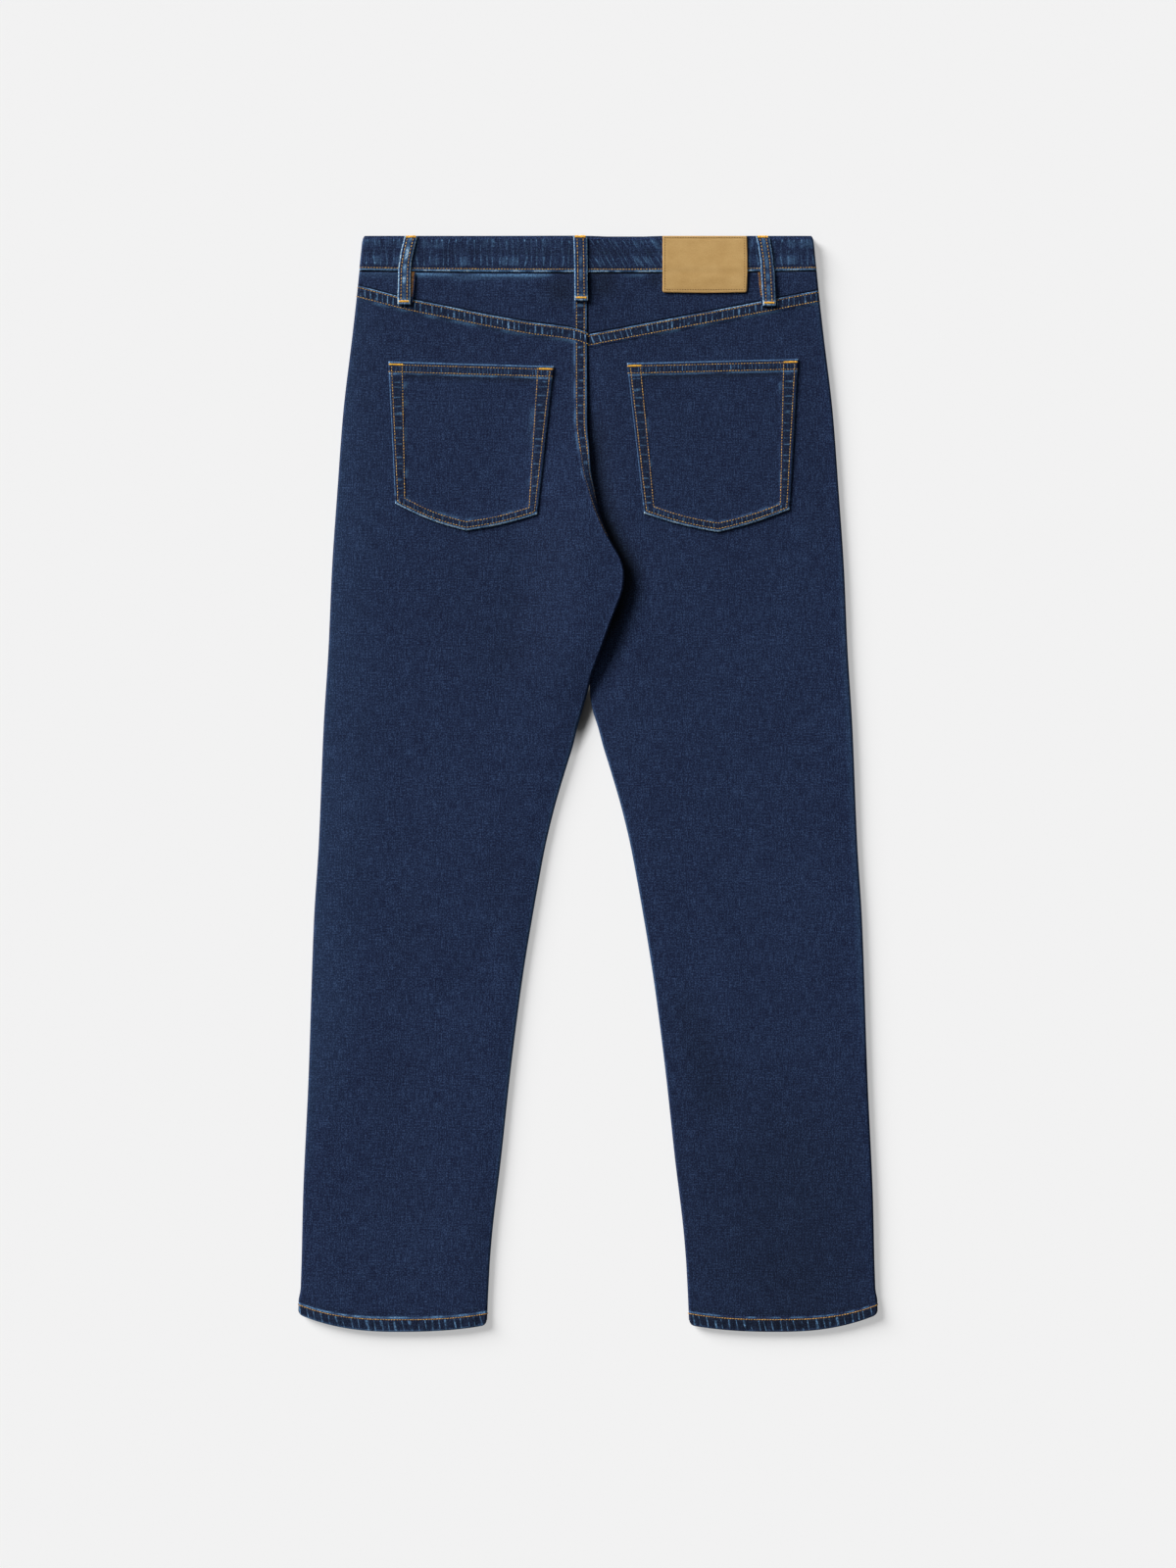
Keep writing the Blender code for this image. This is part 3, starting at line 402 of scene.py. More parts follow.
YOKE_LOW_ROWS = np.array((2.8, 1.9, 1.2, 0.7, 0.3, 0.0))
FRONT_TOP_SHARES = np.array((
    0.0, 0.006, 0.015, 0.03, 0.05, 0.07, 0.09, 0.11, 0.14, 0.18, 0.24, 0.32, 0.42, 0.52, 0.62,
    0.72, 0.82, 0.91,
))
FIRST_STRAIGHT = 168.0
LAST_STRAIGHT = 1056.0
BACK_STEP = 6.0
FRONT_STEP = 9.0

# Rows of the waistband, its rounded ends and its two rows of sewing
BAND_LOW_ROW = 33.5
BAND_TOP_ROW = 2.7
BAND_ROWS = np.array((
    0.0, 0.25, 0.7, 1.3, 2.0, BAND_TOP_ROW, 3.3, 4.0, 5.0, 6.5, 8.3, 10.1, 12.0, 14.0, 16.0, 18.0,
    20.0, 22.0, 24.0, 26.0, 28.0, 29.6, 31.0, 32.0, 32.8, BAND_LOW_ROW, 34.2, 34.9, 35.5, 36.0,
    36.35,
))
BAND_MIDDLE_ROW = 10
BAND_CORNER = 3.2

# Columns and rows of a back pocket near its sides, its mouth and its foot, and of the patch
POCKET_SIDE_IN = np.array((
    0.0, 0.25, 0.6, 1.1, 1.7, 2.3, 2.9, 3.5, 4.4, 5.6, 7.0, 8.4, 9.8, 10.8, 11.8, 13.2, 15.0,
))
POCKET_MOUTH_IN = np.array((
    0.0, 0.25, 0.6, 1.1, 1.7, 2.3, 2.9, 3.5, 4.2, 5.2, 6.4, 7.8, 9.0, 9.8, 10.5, 11.2, 12.0, 12.8,
    13.4, 14.0, 15.0, 16.6,
))
POCKET_FOOT_IN = np.array((
    0.0, 0.25, 0.6, 1.1, 1.8, 2.5, 3.1, 3.8, 4.8, 6.0, 7.2, 8.2, 9.0, 10.0, 11.4, 13.5,
))
PATCH_IN = np.array((0.0, 0.2, 0.5, 0.9, 1.5, 2.3, 3.0, 3.7, 4.8))
LOOP_HALF = np.array((0.12, 0.35, 0.49, 0.6, 0.76, 0.88, 0.96, 1.0))
LOOP_SHARES = np.concatenate([-LOOP_HALF[::-1], LOOP_HALF])

# ---------------------------------------------------------------- sewing, cuts and studio

# How far in the rows of a pocket's foot turn at its outer corner, point and inner corner, as
# shares of their distance from the foot
POCKET_TURNS = (0.66, 1.05, 0.78)
MOUTH_ROW_IN = 0.8
POCKET_TACK_RISE = 0.2

# The yoke's rows run between these distances from the centre line; the hems' rows end where
# the cloth turns further to the side than this
YOKE_ROW_RUN = (0.9, 236.0)
HEM_ROW_TILT = 0.85

# Ends of a belt loop's two rows, and its two bar tacks: below the waistband's top edge and above
# the loop's fold; and how far in from its sides a tack ends
LOOP_ROW_ENDS = (1.2, 3.0)
LOOP_TACKS = (1.3, 3.3)
LOOP_TACK_IN = 1.7

# The looper threads on a loop's tail: their share of its half width, and how far above the fold
# they end
TAIL_ROW_SHARE = 0.6
TAIL_ROW_END = 9.0

# Sewing is laid on the cloth point by point, from this far away
SEWING_STEP = 1.5
DROP_HEIGHT = 50.0

# Threads: the finish's name, and its dark and light shades
THREADS = {
    "tan": ("topstitch_thread_tan", "#7c5a26", "#cb9f50"),
    "hem_tan": ("hem_thread_worn_tan", "#7d5920", "#bd8e42"),
    "bright": ("bar_tack_thread_orange", "#dc960e", "#fac02e"),
    "tonal": ("topstitch_thread_indigo", "#1d2c55", "#2f4a86"),
    "natural": ("patch_thread_tan", "#6b4c22", "#8f6a38"),
    "brown": ("looper_thread_brown", "#5f3f1c", "#a9742c"),
    # A darker copy of the tan thread: painted shade where the centre seam turns away from the light
    "dull": ("topstitch_thread_rubbed_brown", "#302c2b", "#66533f"),
}

# Seams: the thread, its stitches' pitch, length, width and rise, how far they are turned from
# their row and how far they sway either way
Seam = namedtuple("Seam", "name thread pitch stitch width rise turn sway")
SEAMS = (
    Seam("yoke", "tan", 2.95, 2.124, 1.0, 0.3, 0.0, 0.06),
    Seam("centre", "tan", 2.95, 2.124, 1.0, 0.3, 0.0, 0.06),
    Seam("pockets", "tan", 2.95, 2.124, 0.88, 0.3, 0.0, 0.06),
    Seam("hems", "hem_tan", 2.7, 2.565, 1.2, 0.3, 0.0, 0.06),
    Seam("waist", "tan", 2.95, 2.124, 1.0, 0.3, 0.0, 0.06),
    Seam("loops", "tan", 3.3, 2.376, 1.0, 0.3, 0.0, 0.06),
    Seam("front", "tan", 2.95, 2.124, 1.0, 0.3, 0.0, 0.06),
    Seam("centre_low", "dull", 2.95, 2.1, 0.9, 0.3, 0.0, 0.06),
    Seam("waist_top", "tonal", 3.0, 2.4, 0.9, 0.2, 0.0, 0.06),
    Seam("patch", "natural", 2.6, 1.3, 0.8, 0.2, 0.0, 0.06),
    Seam("bar_tacks", "bright", 0.5, 2.3, 0.65, 0.3, math.pi / 2, 0.12),
    Seam("loop_tails", "brown", 1.0, 4.2, 0.7, 0.2, math.pi / 2, 0.35),
)

# Each piece's cut before it was sewn: width, length and area in metres and square metres,
# as far as the finished piece shows
SheetCut = namedtuple("SheetCut", "names width length area rests_on")

# Soft lights far away: strength, height over the horizon, turn to the left, width
Light = namedtuple("Light", "name strength elevation turn size")
LIGHTS = (
    Light("key", 6.3, 22.0, 50.0, 30.0),
    Light("fill", 0.35, 60.0, 45.0, 90.0),
)
WORLD_STRENGTH = 0.08
FLOOR_SIZE = 4.0
FLOOR_SHADE = "#c4c4c4"
FLOOR_GLOW = 0.375
# A painted shadow on the paper where the legs part: its place (x, down), turn, width, length and shade
NOTCH_PLACE = (-3.0, 484.0)
NOTCH_TURN = -0.29
NOTCH_WIDTH = 15.0
NOTCH_LENGTH = 50.0
NOTCH_PAINTED_SHADOW = "#6f6f6f"
CAMERA_LENS = 85.0
VIEW_LENGTH = 1600.0
VIEW_PLANE = 6.0

# ---------------------------------------------------------------- working out forms

HILL_COUNT = 64
HILL_START = (7.3, 3.1)


def smooth_table(rows):
    """A function through a table's rows that never overshoots them."""
    places, values = np.array(rows, float).T
    steps = np.diff(places)
    rates = np.diff(values) / steps
    before, after = rates[:-1], rates[1:]
    same_way = before * after > 0
    middle = 2 * before * after / np.where(same_way, before + after, 1.0)
    slopes = np.concatenate([rates[:1], np.where(same_way, middle, 0.0), rates[-1:]])

    def value(place):
        at = np.clip(place, places[0], places[-1])
        i = np.clip(np.searchsorted(places, at, side="right") - 1, 0, len(steps) - 1)
        share = (at - places[i]) / steps[i]
        rest = 1 - share
        start = values[i] * (1 + 2 * share) + slopes[i] * steps[i] * share
        end = values[i + 1] * (3 - 2 * share) - slopes[i + 1] * steps[i] * rest
        return start * rest * rest + end * share * share

    return value


def mix(start, end, share):
    """The start at share 0 and the end at share 1."""
    return start + (end - start) * share


def ease(limits, place):
    """0 before the limits, 1 after them, smooth between."""
    share = np.clip((place - limits[0]) / (limits[1] - limits[0]), 0.0, 1.0)
    return share * share * (3 - 2 * share)


def fade(limits, place):
    """1 before the limits, 0 after them, smooth between."""
    return 1 - ease(limits, place)


def bell(place, centre, width):
    """1 at the centre, fading to 0 a few widths away."""
    return np.exp(-(((place - centre) / width) ** 2))


def between(place, start, end, soft):
    """1 between start and end, 0 outside, with soft ends."""
    return ease((start - soft, start), place) * fade((end, end + soft), place)


def layers(*parts):
    """Values of one grid, each an array or a number, side by side in a last axis."""
    return np.stack(np.broadcast_arrays(*parts), -1)


@lru_cache(maxsize=None)
def hill_table(seed):
    """A square table of seeded random heights."""
    return np.random.default_rng(seed).uniform(-1, 1, (HILL_COUNT, HILL_COUNT))


def ripple(seed, x, y, size_x, size_y):
    """Smooth random hills between -1 and 1, about as wide as the given sizes."""
    hills = hill_table(seed)
    u, v = np.broadcast_arrays(x / size_x + HILL_START[0], y / size_y + HILL_START[1])
    i, j = np.floor(u).astype(int), np.floor(v).astype(int)
    p, q = ease((0, 1), u - i), ease((0, 1), v - j)
    i, next_i, j, next_j = (place % HILL_COUNT for place in (i, i + 1, j, j + 1))
    near = mix(hills[i, j], hills[next_i, j], p)
    far = mix(hills[i, next_j], hills[next_i, next_j], p)
    return mix(near, far, q)


def shares_inside(count):
    """Evenly spaced shares between 0 and 1, without the ends."""
    return np.linspace(0, 1, count + 2)[1:-1]


def spots(seed, x, y, size_x, size_y, shift, least=0.0):
    """Random marks between a least value and 1; the shift says how much they cover."""
    return np.clip(ripple(seed, x, y, size_x, size_y) + shift, least, 1)


def nearest(x, down, *places):
    """Distance from the nearest of some places."""
    return np.minimum.reduce([np.hypot(x - place[0], down - place[1]) for place in places])


def along_path(points):
    """Distance travelled along a path, at each of its points."""
    steps = np.linalg.norm(np.diff(points, axis=0), axis=1)
    return np.concatenate([[0.0], np.cumsum(steps)])


def bowed(start, end, bow, share):
    """Places from start to end on a line that bows downwards."""
    return mix(start, end, share) + bow * np.sin(math.pi * share) * np.array((0.0, 1.0))


side_seam = smooth_table(SIDE_SEAM)
thickness = smooth_table(THICKNESS)
left_rise = smooth_table(LEFT_RISE)
lap_edge = smooth_table(LAP_EDGE)
right_dip = smooth_table(RIGHT_DIP)
dip_width = smooth_table(DIP_WIDTH)
lip_end = smooth_table(LIP_END)
hem_row = smooth_table(HEM_ROW)
centre_rows = (smooth_table(CENTRE_ROW_OUTER), smooth_table(CENTRE_ROW_INNER))
yoke_seams = {side: smooth_table(rows) for side, rows in YOKE_SEAM.items()}


def leg_edges(left_top, right_top):
    """Inner edges of both legs, from their tables at the crotch and the inseam below it."""
    left = left_top + tuple((down, -x) for down, x in INSEAM)
    return {LEFT: smooth_table(left), RIGHT: smooth_table(right_top + INSEAM)}


def below_crotch(rows):
    return tuple(row for row in rows if row[0] > CROTCH)


back_edges = leg_edges(LEFT_BACK_EDGE, RIGHT_BACK_EDGE)
front_edges = leg_edges(
    LEFT_FRONT_EDGE + below_crotch(LEFT_BACK_EDGE), RIGHT_FRONT_EDGE + below_crotch(RIGHT_BACK_EDGE)
)
HEM_OUTER = side_seam(LENGTH)
HEM_INNER = abs(back_edges[LEFT](LENGTH))


def fold_height(folds, x, down):
    """Sum of soft folds at points of a panel."""
    total = 0.0
    for fold in folds:
        run_x = fold.x_end - fold.x_start
        run_down = fold.down_end - fold.down_start
        run = math.hypot(run_x, run_down)
        along = ((x - fold.x_start) * run_x + (down - fold.down_start) * run_down) / run
        beside = ((x - fold.x_start) * run_down - (down - fold.down_start) * run_x) / run
        past = np.maximum(np.maximum(-along, along - run), 0.0)
        total = total + fold.height * np.exp(-(beside ** 2 + past ** 2) / fold.width ** 2)
    return total


def front_stand(x, down):
    """Height of the front's outer face over the floor, away from the crotch."""
    stand = FRONT_STAND * fade(STAND_SIDE, np.abs(x)) * fade(STAND_END, down)
    return stand + BUTTON_STAND * bell(x, 0.0, BUTTON_STAND_WIDTH) * fade(BUTTON_STAND_END, down)


def leg_rise(side, x, down):
    """Rise of the left leg where it lies over the right one."""
    if side == RIGHT:
        return 0.0
    edge = lap_edge(down)
    return left_rise(down) * ease((edge - RISE_WIDTH, edge), x)


def under_lip(x, down):
    """Height up to which the right leg fills the space under the left one."""
    past_front = x - front_edges[LEFT](down)
    return mix(left_rise(down), lip_end(down), ease((-1.0, 1.5), past_front)) - LIP_SPACE


def lip_cover(beneath, down):
    """Share of that filling, at a distance beneath the left leg's edge."""
    lap = back_edges[LEFT](down) - back_edges[RIGHT](down)
    reach = np.clip(LIP_FILL_SHARE * lap, LIP_FILL_LEAST, LIP_FILL)
    return ease((0.4, 1.0), beneath / reach) * between(down, *LIP_FILL_RUN)


def from_side_seam(x, down):
    return side_seam(down) - np.abs(x)


def from_inseam(side, x, down):
    return side * (x - back_edges[side](down))


def back_height(side, x, down):
    """Height of the back's outer face, away from its rolled edges."""
    hump = CENTRE_HUMP * bell(x, CENTRE_HUMP_X, CENTRE_HUMP_WIDTH)
    height = thickness(down) + hump * fade(CENTRE_HUMP_END, down) + fold_height(FOLDS, x, down)
    if side == LEFT:
        height = height - EDGE_FALL * fade((0.0, EDGE_FALL_WIDTH), side_seam(down) + x)
    fall = EDGE_FALL * fade((0.0, EDGE_FALL_WIDTH), from_inseam(side, x, down))
    height = height - fall * ease(INSEAM_FALL, down)
    if side == RIGHT:
        past_lip = x - back_edges[LEFT](down)
        height = height - right_dip(down) * fade((0.0, 1.0), past_lip / dip_width(down))
        height = height + np.maximum(under_lip(x, down) - height, 0.0) * lip_cover(-past_lip, down)
    return height + leg_rise(side, x, down)


def seam_height(down):
    """Height of the side seam."""
    return SEAM_SHARE * thickness(down)


def inseam_height(side, down):
    """Height of the inseam, on the leg that rises or the one that sinks."""
    if side == LEFT:
        return seam_height(down) + left_rise(down)
    return SEAM_SHARE * (thickness(down) - right_dip(down))


def roll(radius, cloth, angle):
    """At an angle round a rolled edge: how far in the outer and inner faces are, and the share of
    the way up."""
    bend = 1 - np.cos(np.radians(angle))
    return radius * bend, cloth + (radius - cloth) * bend, np.sin(np.radians(angle))


def yoke_seam(side, x):
    return yoke_seams[side](np.abs(x))


def hem_place(x):
    """0 at the side seam and 1 at the inseam, along the hem."""
    return np.clip((HEM_OUTER - np.abs(x)) / (HEM_OUTER - HEM_INNER), 0.0, 1.0)


def rounded_off(radius, beside):
    """How far an edge draws back at a rounded corner, at a distance from the corner's side."""
    inside = radius - np.clip(beside, 0.0, radius)
    return radius - np.sqrt(radius ** 2 - inside ** 2)


def hem_corners(x):
    return rounded_off(HEM_CORNER, np.minimum(HEM_OUTER - np.abs(x), np.abs(x) - HEM_INNER))


def back_hem(x):
    """Lowest edge of the back at x: a curve that rises to both seams."""
    place = hem_place(x)
    beside = np.abs(place - HEM_MIDDLE) / HEM_MIDDLE
    drop = np.where(place < HEM_MIDDLE, HEM_DROP_OUTER, HEM_DROP_INNER)
    return LENGTH - drop * beside ** HEM_CURVE


def front_hem(x):
    place = hem_place(x)
    return mix(FRONT_HEM_OUTER, FRONT_HEM_INNER, place) + FRONT_HEM_SAG * np.sin(math.pi * place)


def above_hem(hem, x, down):
    """Height above a hem's edge, in the hem's own millimetres: its sewing is at HEM_STITCH."""
    return (hem(x) - down) * HEM_STITCH / hem_row(hem_place(x))


def scoop(x):
    """Top edge of the front: straight to the pocket, then down its scoop."""
    from_seam = np.clip((SCOOP_START + SCOOP_WIDTH - np.abs(x)) / SCOOP_WIDTH, 0.0, 1.0)
    return SCOOP_TOP + SCOOP_DEPTH * np.sqrt(1 - from_seam ** 2)


def band_edge(x):
    """Lower edge of the waistband, which sags a little between the side seams."""
    return BAND_DEPTH + BAND_SAG_MIDDLE - BAND_SAG * (np.abs(x) / BAND_HALF) ** 2


def band_bottom(x, down):
    """Height of the waistband's front over the floor."""
    return BAND_STAND_SHARE * front_stand(x, down) + THREAD_ROOM


def band_top(x, down):
    """Height of the waistband's back."""
    return back_height(RIGHT, x, down) + BAND_RISE


# ---------------------------------------------------------------- fine form of the cloth, its rubbing, painted light and painted shade


def fell_profile(place, first_row, last_row):
    """Height of a felled seam across itself, with the thread's two grooves."""
    ridge = mix(FELL_START, FELL_RISE, ease((0.0, 1.0), place))
    grooves = bell(place, first_row, 0.7) + bell(place, last_row, 0.7)
    return ridge * fade((last_row + 1.0, last_row + 3.2), place) - 0.22 * grooves


def back_relief(side, x, down):
    """Fine creases, puckers at seams and the cloth's own unevenness, in millimetres."""
    below_seam = down - yoke_seam(side, x)
    above = above_hem(back_hem, x, down)
    first, last = YOKE_ROWS[side]
    hem_waves = ripple(15, x, down, 4.6, 60)
    return (
        fold_height(CREASES, x, down)
        + 0.10 * ripple(11, x, down, 55, 90)
        + 0.04 * ripple(12, x, down, 17, 24)
        + 0.26 * ripple(13, x, down, 3.4, 30) * between(below_seam, first + 1.5, last - 1.5, 1.2)
        + 0.14 * ripple(14, x, down, 6.5, 22) * between(below_seam, last + 2, last + 8, 16)
        + 0.38 * hem_waves * between(above, 1.5, 10.6, 1.0)
        + 0.12 * hem_waves * between(above, 14.0, 17.0, 14)
    )


def centre_seam(x, down):
    """Distance from the centre back's folded edge, and how far from it its two rows are."""
    return back_edges[LEFT](down) - x, centre_rows[0](down), centre_rows[1](down)


def fell_relief(x, down):
    """Form of the centre back's felled seam, on the wearer's left."""
    from_edge, outer_row, inner_row = centre_seam(x, down)
    ridge = fell_profile(from_edge, outer_row, inner_row) * fade(FELL_END, down)
    rungs = ripple(16, x, down, 30, 3.2) * between(from_edge, outer_row + 1, inner_row - 1, 0.8)
    return ridge + 0.2 * rungs * fade((250, 320), down)


def centre_wear_and_shade(x, down):
    """Where the centre back's felled seam is rubbed, with painted shade along its folded edge, on the
    wearer's left.
    """
    from_edge, outer_row, inner_row = centre_seam(x, down)
    patches = 0.7 + 0.3 * ripple(25, x, down, 30, 12)
    wear = (
        0.40 * between(from_edge, 0.9, 1.9, 0.5) * patches
        # Painted shade in the crevice at the folded edge
        - 0.8 * fade((0.1, 0.7), from_edge)
        - 0.3 * between(from_edge, outer_row + 0.8, inner_row - 0.8, 0.8)
        + 0.3 * bell(from_edge, inner_row + 2.0, 1.0) * spots(24, x, down, 30, 9, 0.35)
    )
    return wear * fade((245, 315), down)


def centre_rungs(side, x, down):
    """Strength of the light rungs between the centre back's two rows of sewing."""
    if side == RIGHT:
        return 0.0
    from_edge, outer_row, inner_row = centre_seam(x, down)
    return 0.42 * between(from_edge, outer_row + 1.2, inner_row - 1.2, 0.7) * fade((215, 262), down)


def painted_shade_of(side, x, down):
    """Painted shade, and painted light where it is below 0: on soft folds and along the sides, lower
    down the legs, over the right leg, beside the centre back's fold and in the lip's shadow.
    """
    fold_shade = fold_height(PAINTED_SHADE_FOLDS, x, down)
    if side == LEFT:
        return fold_shade + 0.03 * ease((900, 1080), down)
    past_lip = x - back_edges[LEFT](down)
    return (
        fold_shade + 0.05 + 0.14 * ease((760, 980), down)
        # Painted shade beside the centre back's fold, and the left leg's painted shadow on the right back
        + 0.6 * fade((0.8, 2.2), x - back_edges[RIGHT](down)) * fade((300, 345), down)
        + 0.42 * fade((4.0, 30.0), past_lip) * between(down, 215, 400, 55)
        + 0.35 * fade((5.0, 13.0), past_lip) * between(down, 300, 390, 28)
    )


def hem_wear_and_shade(hem, x, down):
    """A hem's rubbing: a broken light line above its row, a faint lower edge and dark cloth between, with a
    band of painted shade above the hem.
    """
    above = above_hem(hem, x, down)
    dashes = spots(23, x, down, 5, 40, 0.8, 0.3)
    return (
        0.66 * bell(above, 14.6, 1.05) * dashes
        - 0.42 * between(above, 2.4, 11.4, 0.8)
        # Painted shade above the hem's turned edge
        - 0.2 * bell(above, 18.5, 2.0)
        + 0.36 * fade((1.2, 2.4), above) * (0.4 + 0.6 * dashes)
    )


def hem_rope(hem, x, down):
    """Strength of the puckers in a hem, between its row and its lower edge."""
    return 0.52 * between(above_hem(hem, x, down), 1.2, 11.2, 0.8)


def back_wear_and_shade(side, x, down):
    """How far the indigo is rubbed off the back along folded edges and seams, with painted light on its
    rolled sides and painted shade.
    """
    below_seam = down - yoke_seam(side, x)
    first, last = YOKE_ROWS[side]
    from_side = from_side_seam(x, down)
    wear = (
        0.62 * between(below_seam, 0.0, 0.9, 0.5) * spots(20, x, down, 9, 9, 0.75, 0.3)
        + 0.36 * bell(below_seam, last + 2.2, 1.3) * spots(22, x, down, 13, 5, 0.4, 0.15)
        - 0.35 * between(below_seam, first + 1.0, last - 1.0, 0.7)
        + hem_wear_and_shade(back_hem, x, down)
        # Lighter beside the side seams and the inseam: partly rubbing, partly painted light on their rolled
        # edges
        + (0.02 if side == LEFT else 0.08) * fade((2.0, 14.0), from_side)
        + 0.16 * fade((0.4, 4.0), from_inseam(side, x, down)) * ease((430, 520), down)
    )
    if side == LEFT:
        # Painted shade on the rim of the left side seam, which faces the light
        wear = wear - 0.2 * fade((0.3, 1.5), from_side)
        wear = wear + centre_wear_and_shade(x, down) * ease((last, last + 2.5), below_seam)
    return wear - painted_shade_of(side, x, down)


def front_relief(x, down):
    """Soft creases of the front, which only ever lift it off the floor."""
    creases = fold_height(FRONT_CREASES, x, down)
    return creases + THREAD_ROOM + 0.12 * (1 + ripple(31, x, down, 60, 90))


# ---------------------------------------------------------------- the panels' grids

# A panel: the number of its columns, their places across it, and its section
Panel = namedtuple("Panel", "columns places section")
# Rows of a panel: where the search for their place starts, a number for each one, its place
# down at x from that number, the cloth's thickness and its rise
Rows = namedtuple("Rows", "start at down cloth rise")
# A finished piece: its grids of points, and its weave, its rubbing with painted light and painted shade,
# and rope (puckers) at them
Cut = namedtuple("Cut", "name outer inner weave wear rope")

INNER_OUT, INNER_IN, INNER_UP = roll(BACK_ROLL, CLOTH, np.linspace(0, 90, len(FELL_IN)))
OUTER_OUT, OUTER_IN, OUTER_UP = roll(BACK_ROLL, CLOTH, np.linspace(90, 0, 13))
BACK_SHARES = shares_inside(100)
FRONT_OUT, FRONT_IN, FRONT_UP = roll(FRONT_ROLL, CLOTH, np.linspace(0, 90, 8))
FRONT_FLAT = np.linspace(0, FRONT_ROLL, 8)
FRONT_SHARES = shares_inside(72)


def parts_of(inner, outer):
    """A panel's columns beside its inner edge, in its middle and beside its side seam."""
    return slice(None, len(inner)), slice(len(inner), -len(outer)), slice(-len(outer), None)


def back_places(side, down):
    """X of the outer points across a back panel."""
    near, middle, far = parts_of(INNER_OUT, OUTER_OUT)
    edge = side * back_edges[side](down)
    rolled = ease(BACK_EDGE_ROLL[side], down)
    inner = edge[:, near] + mix(EDGE_IN[side], INNER_OUT, rolled[:, near])
    start = edge[:, middle] + mix(FELL_IN[-1], BACK_ROLL, rolled[:, middle])
    across = mix(start, side_seam(down[:, middle]) - BACK_ROLL, BACK_SHARES)
    outer = side_seam(down[:, far]) - OUTER_OUT
    return side * np.concatenate([inner, across, outer], 1)


def back_section(side, down, cloth, rise):
    """Outer and inner points of a back panel: arrays of x and z."""
    near, _, far = parts_of(INNER_OUT, OUTER_OUT)
    x = back_places(side, down)
    top = back_height(side, x, down) + rise
    fine = top + back_relief(side, x, down)
    under = top - cloth

    here = down[:, near]
    low = inseam_height(side, here) + HALF_GAP
    if side == LEFT:
        low = np.where(here < CROTCH, lip_end(here), low)
        fine[:, near] += fell_relief(x[:, near], here)
    else:
        tuck = np.maximum(CLOTH + TUCK_ROOM - left_rise(here) - right_dip(here), TUCK_LEAST)
        sunk = tuck * fade(TUCK_WIDTH, TUCKED_IN) * fade(TUCK_END, here)
        fine[:, near] -= sunk
        under[:, near] -= sunk
    rolled = ease(BACK_EDGE_ROLL[side], here)
    for face in (fine, under):
        face[:, near] = mix(face[:, near], mix(low, face[:, near], INNER_UP), rolled)
        face[:, far] = mix(seam_height(down[:, far]) + HALF_GAP, face[:, far], OUTER_UP)

    inside = x.copy()
    edge = side * back_edges[side](here)
    inside[:, near] = side * (edge + mix(EDGE_IN[side], INNER_IN, rolled))
    inside[:, far] = side * (side_seam(down[:, far]) - OUTER_IN)
    return x, fine, inside, under


def front_places(side, down):
    """X of the outer points across a front panel."""
    near, middle, far = parts_of(FRONT_OUT, FRONT_OUT)
    edge = side * front_edges[side](down)
    inner = edge[:, near] + mix(FRONT_FLAT, FRONT_OUT, ease(FRONT_EDGE_ROLL, down[:, near]))
    ends = edge[:, middle] + FRONT_ROLL, side_seam(down[:, middle]) - FRONT_ROLL
    outer = side_seam(down[:, far]) - FRONT_OUT[::-1]
    return side * np.concatenate([inner, mix(*ends, FRONT_SHARES), outer], 1)


def front_section(side, down, cloth, rise):
    """Outer and inner points of a front panel: arrays of x and z."""
    near, _, far = parts_of(FRONT_OUT, FRONT_OUT)
    x = front_places(side, down)
    low = front_stand(x, down) + leg_rise(side, x, down) + rise
    lift = front_relief(x, down)
    outer = low + lift
    inner = outer + cloth

    here = down[:, near]
    rolled = ease(FRONT_EDGE_ROLL, here)
    inseam = inseam_height(side, here) - HALF_GAP
    side_height = seam_height(down[:, far]) - HALF_GAP
    for face, thick in ((outer, 0.0), (inner, CLOTH)):
        flat = low[:, near] + thick
        lifted = lift[:, near] * FRONT_UP
        face[:, near] = mix(flat, mix(inseam, flat, FRONT_UP), rolled) + lifted
        lifted = lift[:, far] * FRONT_UP[::-1]
        face[:, far] = mix(side_height, low[:, far] + thick, FRONT_UP[::-1]) + lifted

    inside = x.copy()
    edge = side * front_edges[side](here)
    inside[:, near] = side * (edge + mix(FRONT_FLAT, FRONT_IN, rolled))
    inside[:, far] = side * (side_seam(down[:, far]) - FRONT_IN[::-1])
    return x, outer, inside, inner


BACK = Panel(len(INNER_OUT) + len(BACK_SHARES) + len(OUTER_OUT), back_places, back_section)
FRONT = Panel(2 * len(FRONT_OUT) + len(FRONT_SHARES), front_places, front_section)


def grid_of(side, panel, parts):
    """Outer and inner grids of points over a panel, from the rows of its parts."""
    grids = []
    for rows in parts:
        at = rows.at[:, None]
        down = np.full((len(at), panel.columns), float(rows.start))
        # Each point's place down depends on its x, which depends on its place down
        for _ in range(4):
            down = rows.down(panel.places(side, down), at) + np.zeros_like(down)
        cloth, rise = np.reshape(rows.cloth, (-1, 1)), np.reshape(rows.rise, (-1, 1))
        x, z, inside_x, inside_z = panel.section(side, down, cloth, rise)
        grids.append((layers(x, down, z), layers(inside_x, down, inside_z)))
    return [np.concatenate(faces) for faces in zip(*grids)]


def straight_rows(step):
    """Straight rows down a leg, a step apart."""
    downs = np.arange(FIRST_STRAIGHT, LAST_STRAIGHT, step)
    return Rows(FIRST_STRAIGHT, downs, lambda x, at: at, CLOTH, 0.0)


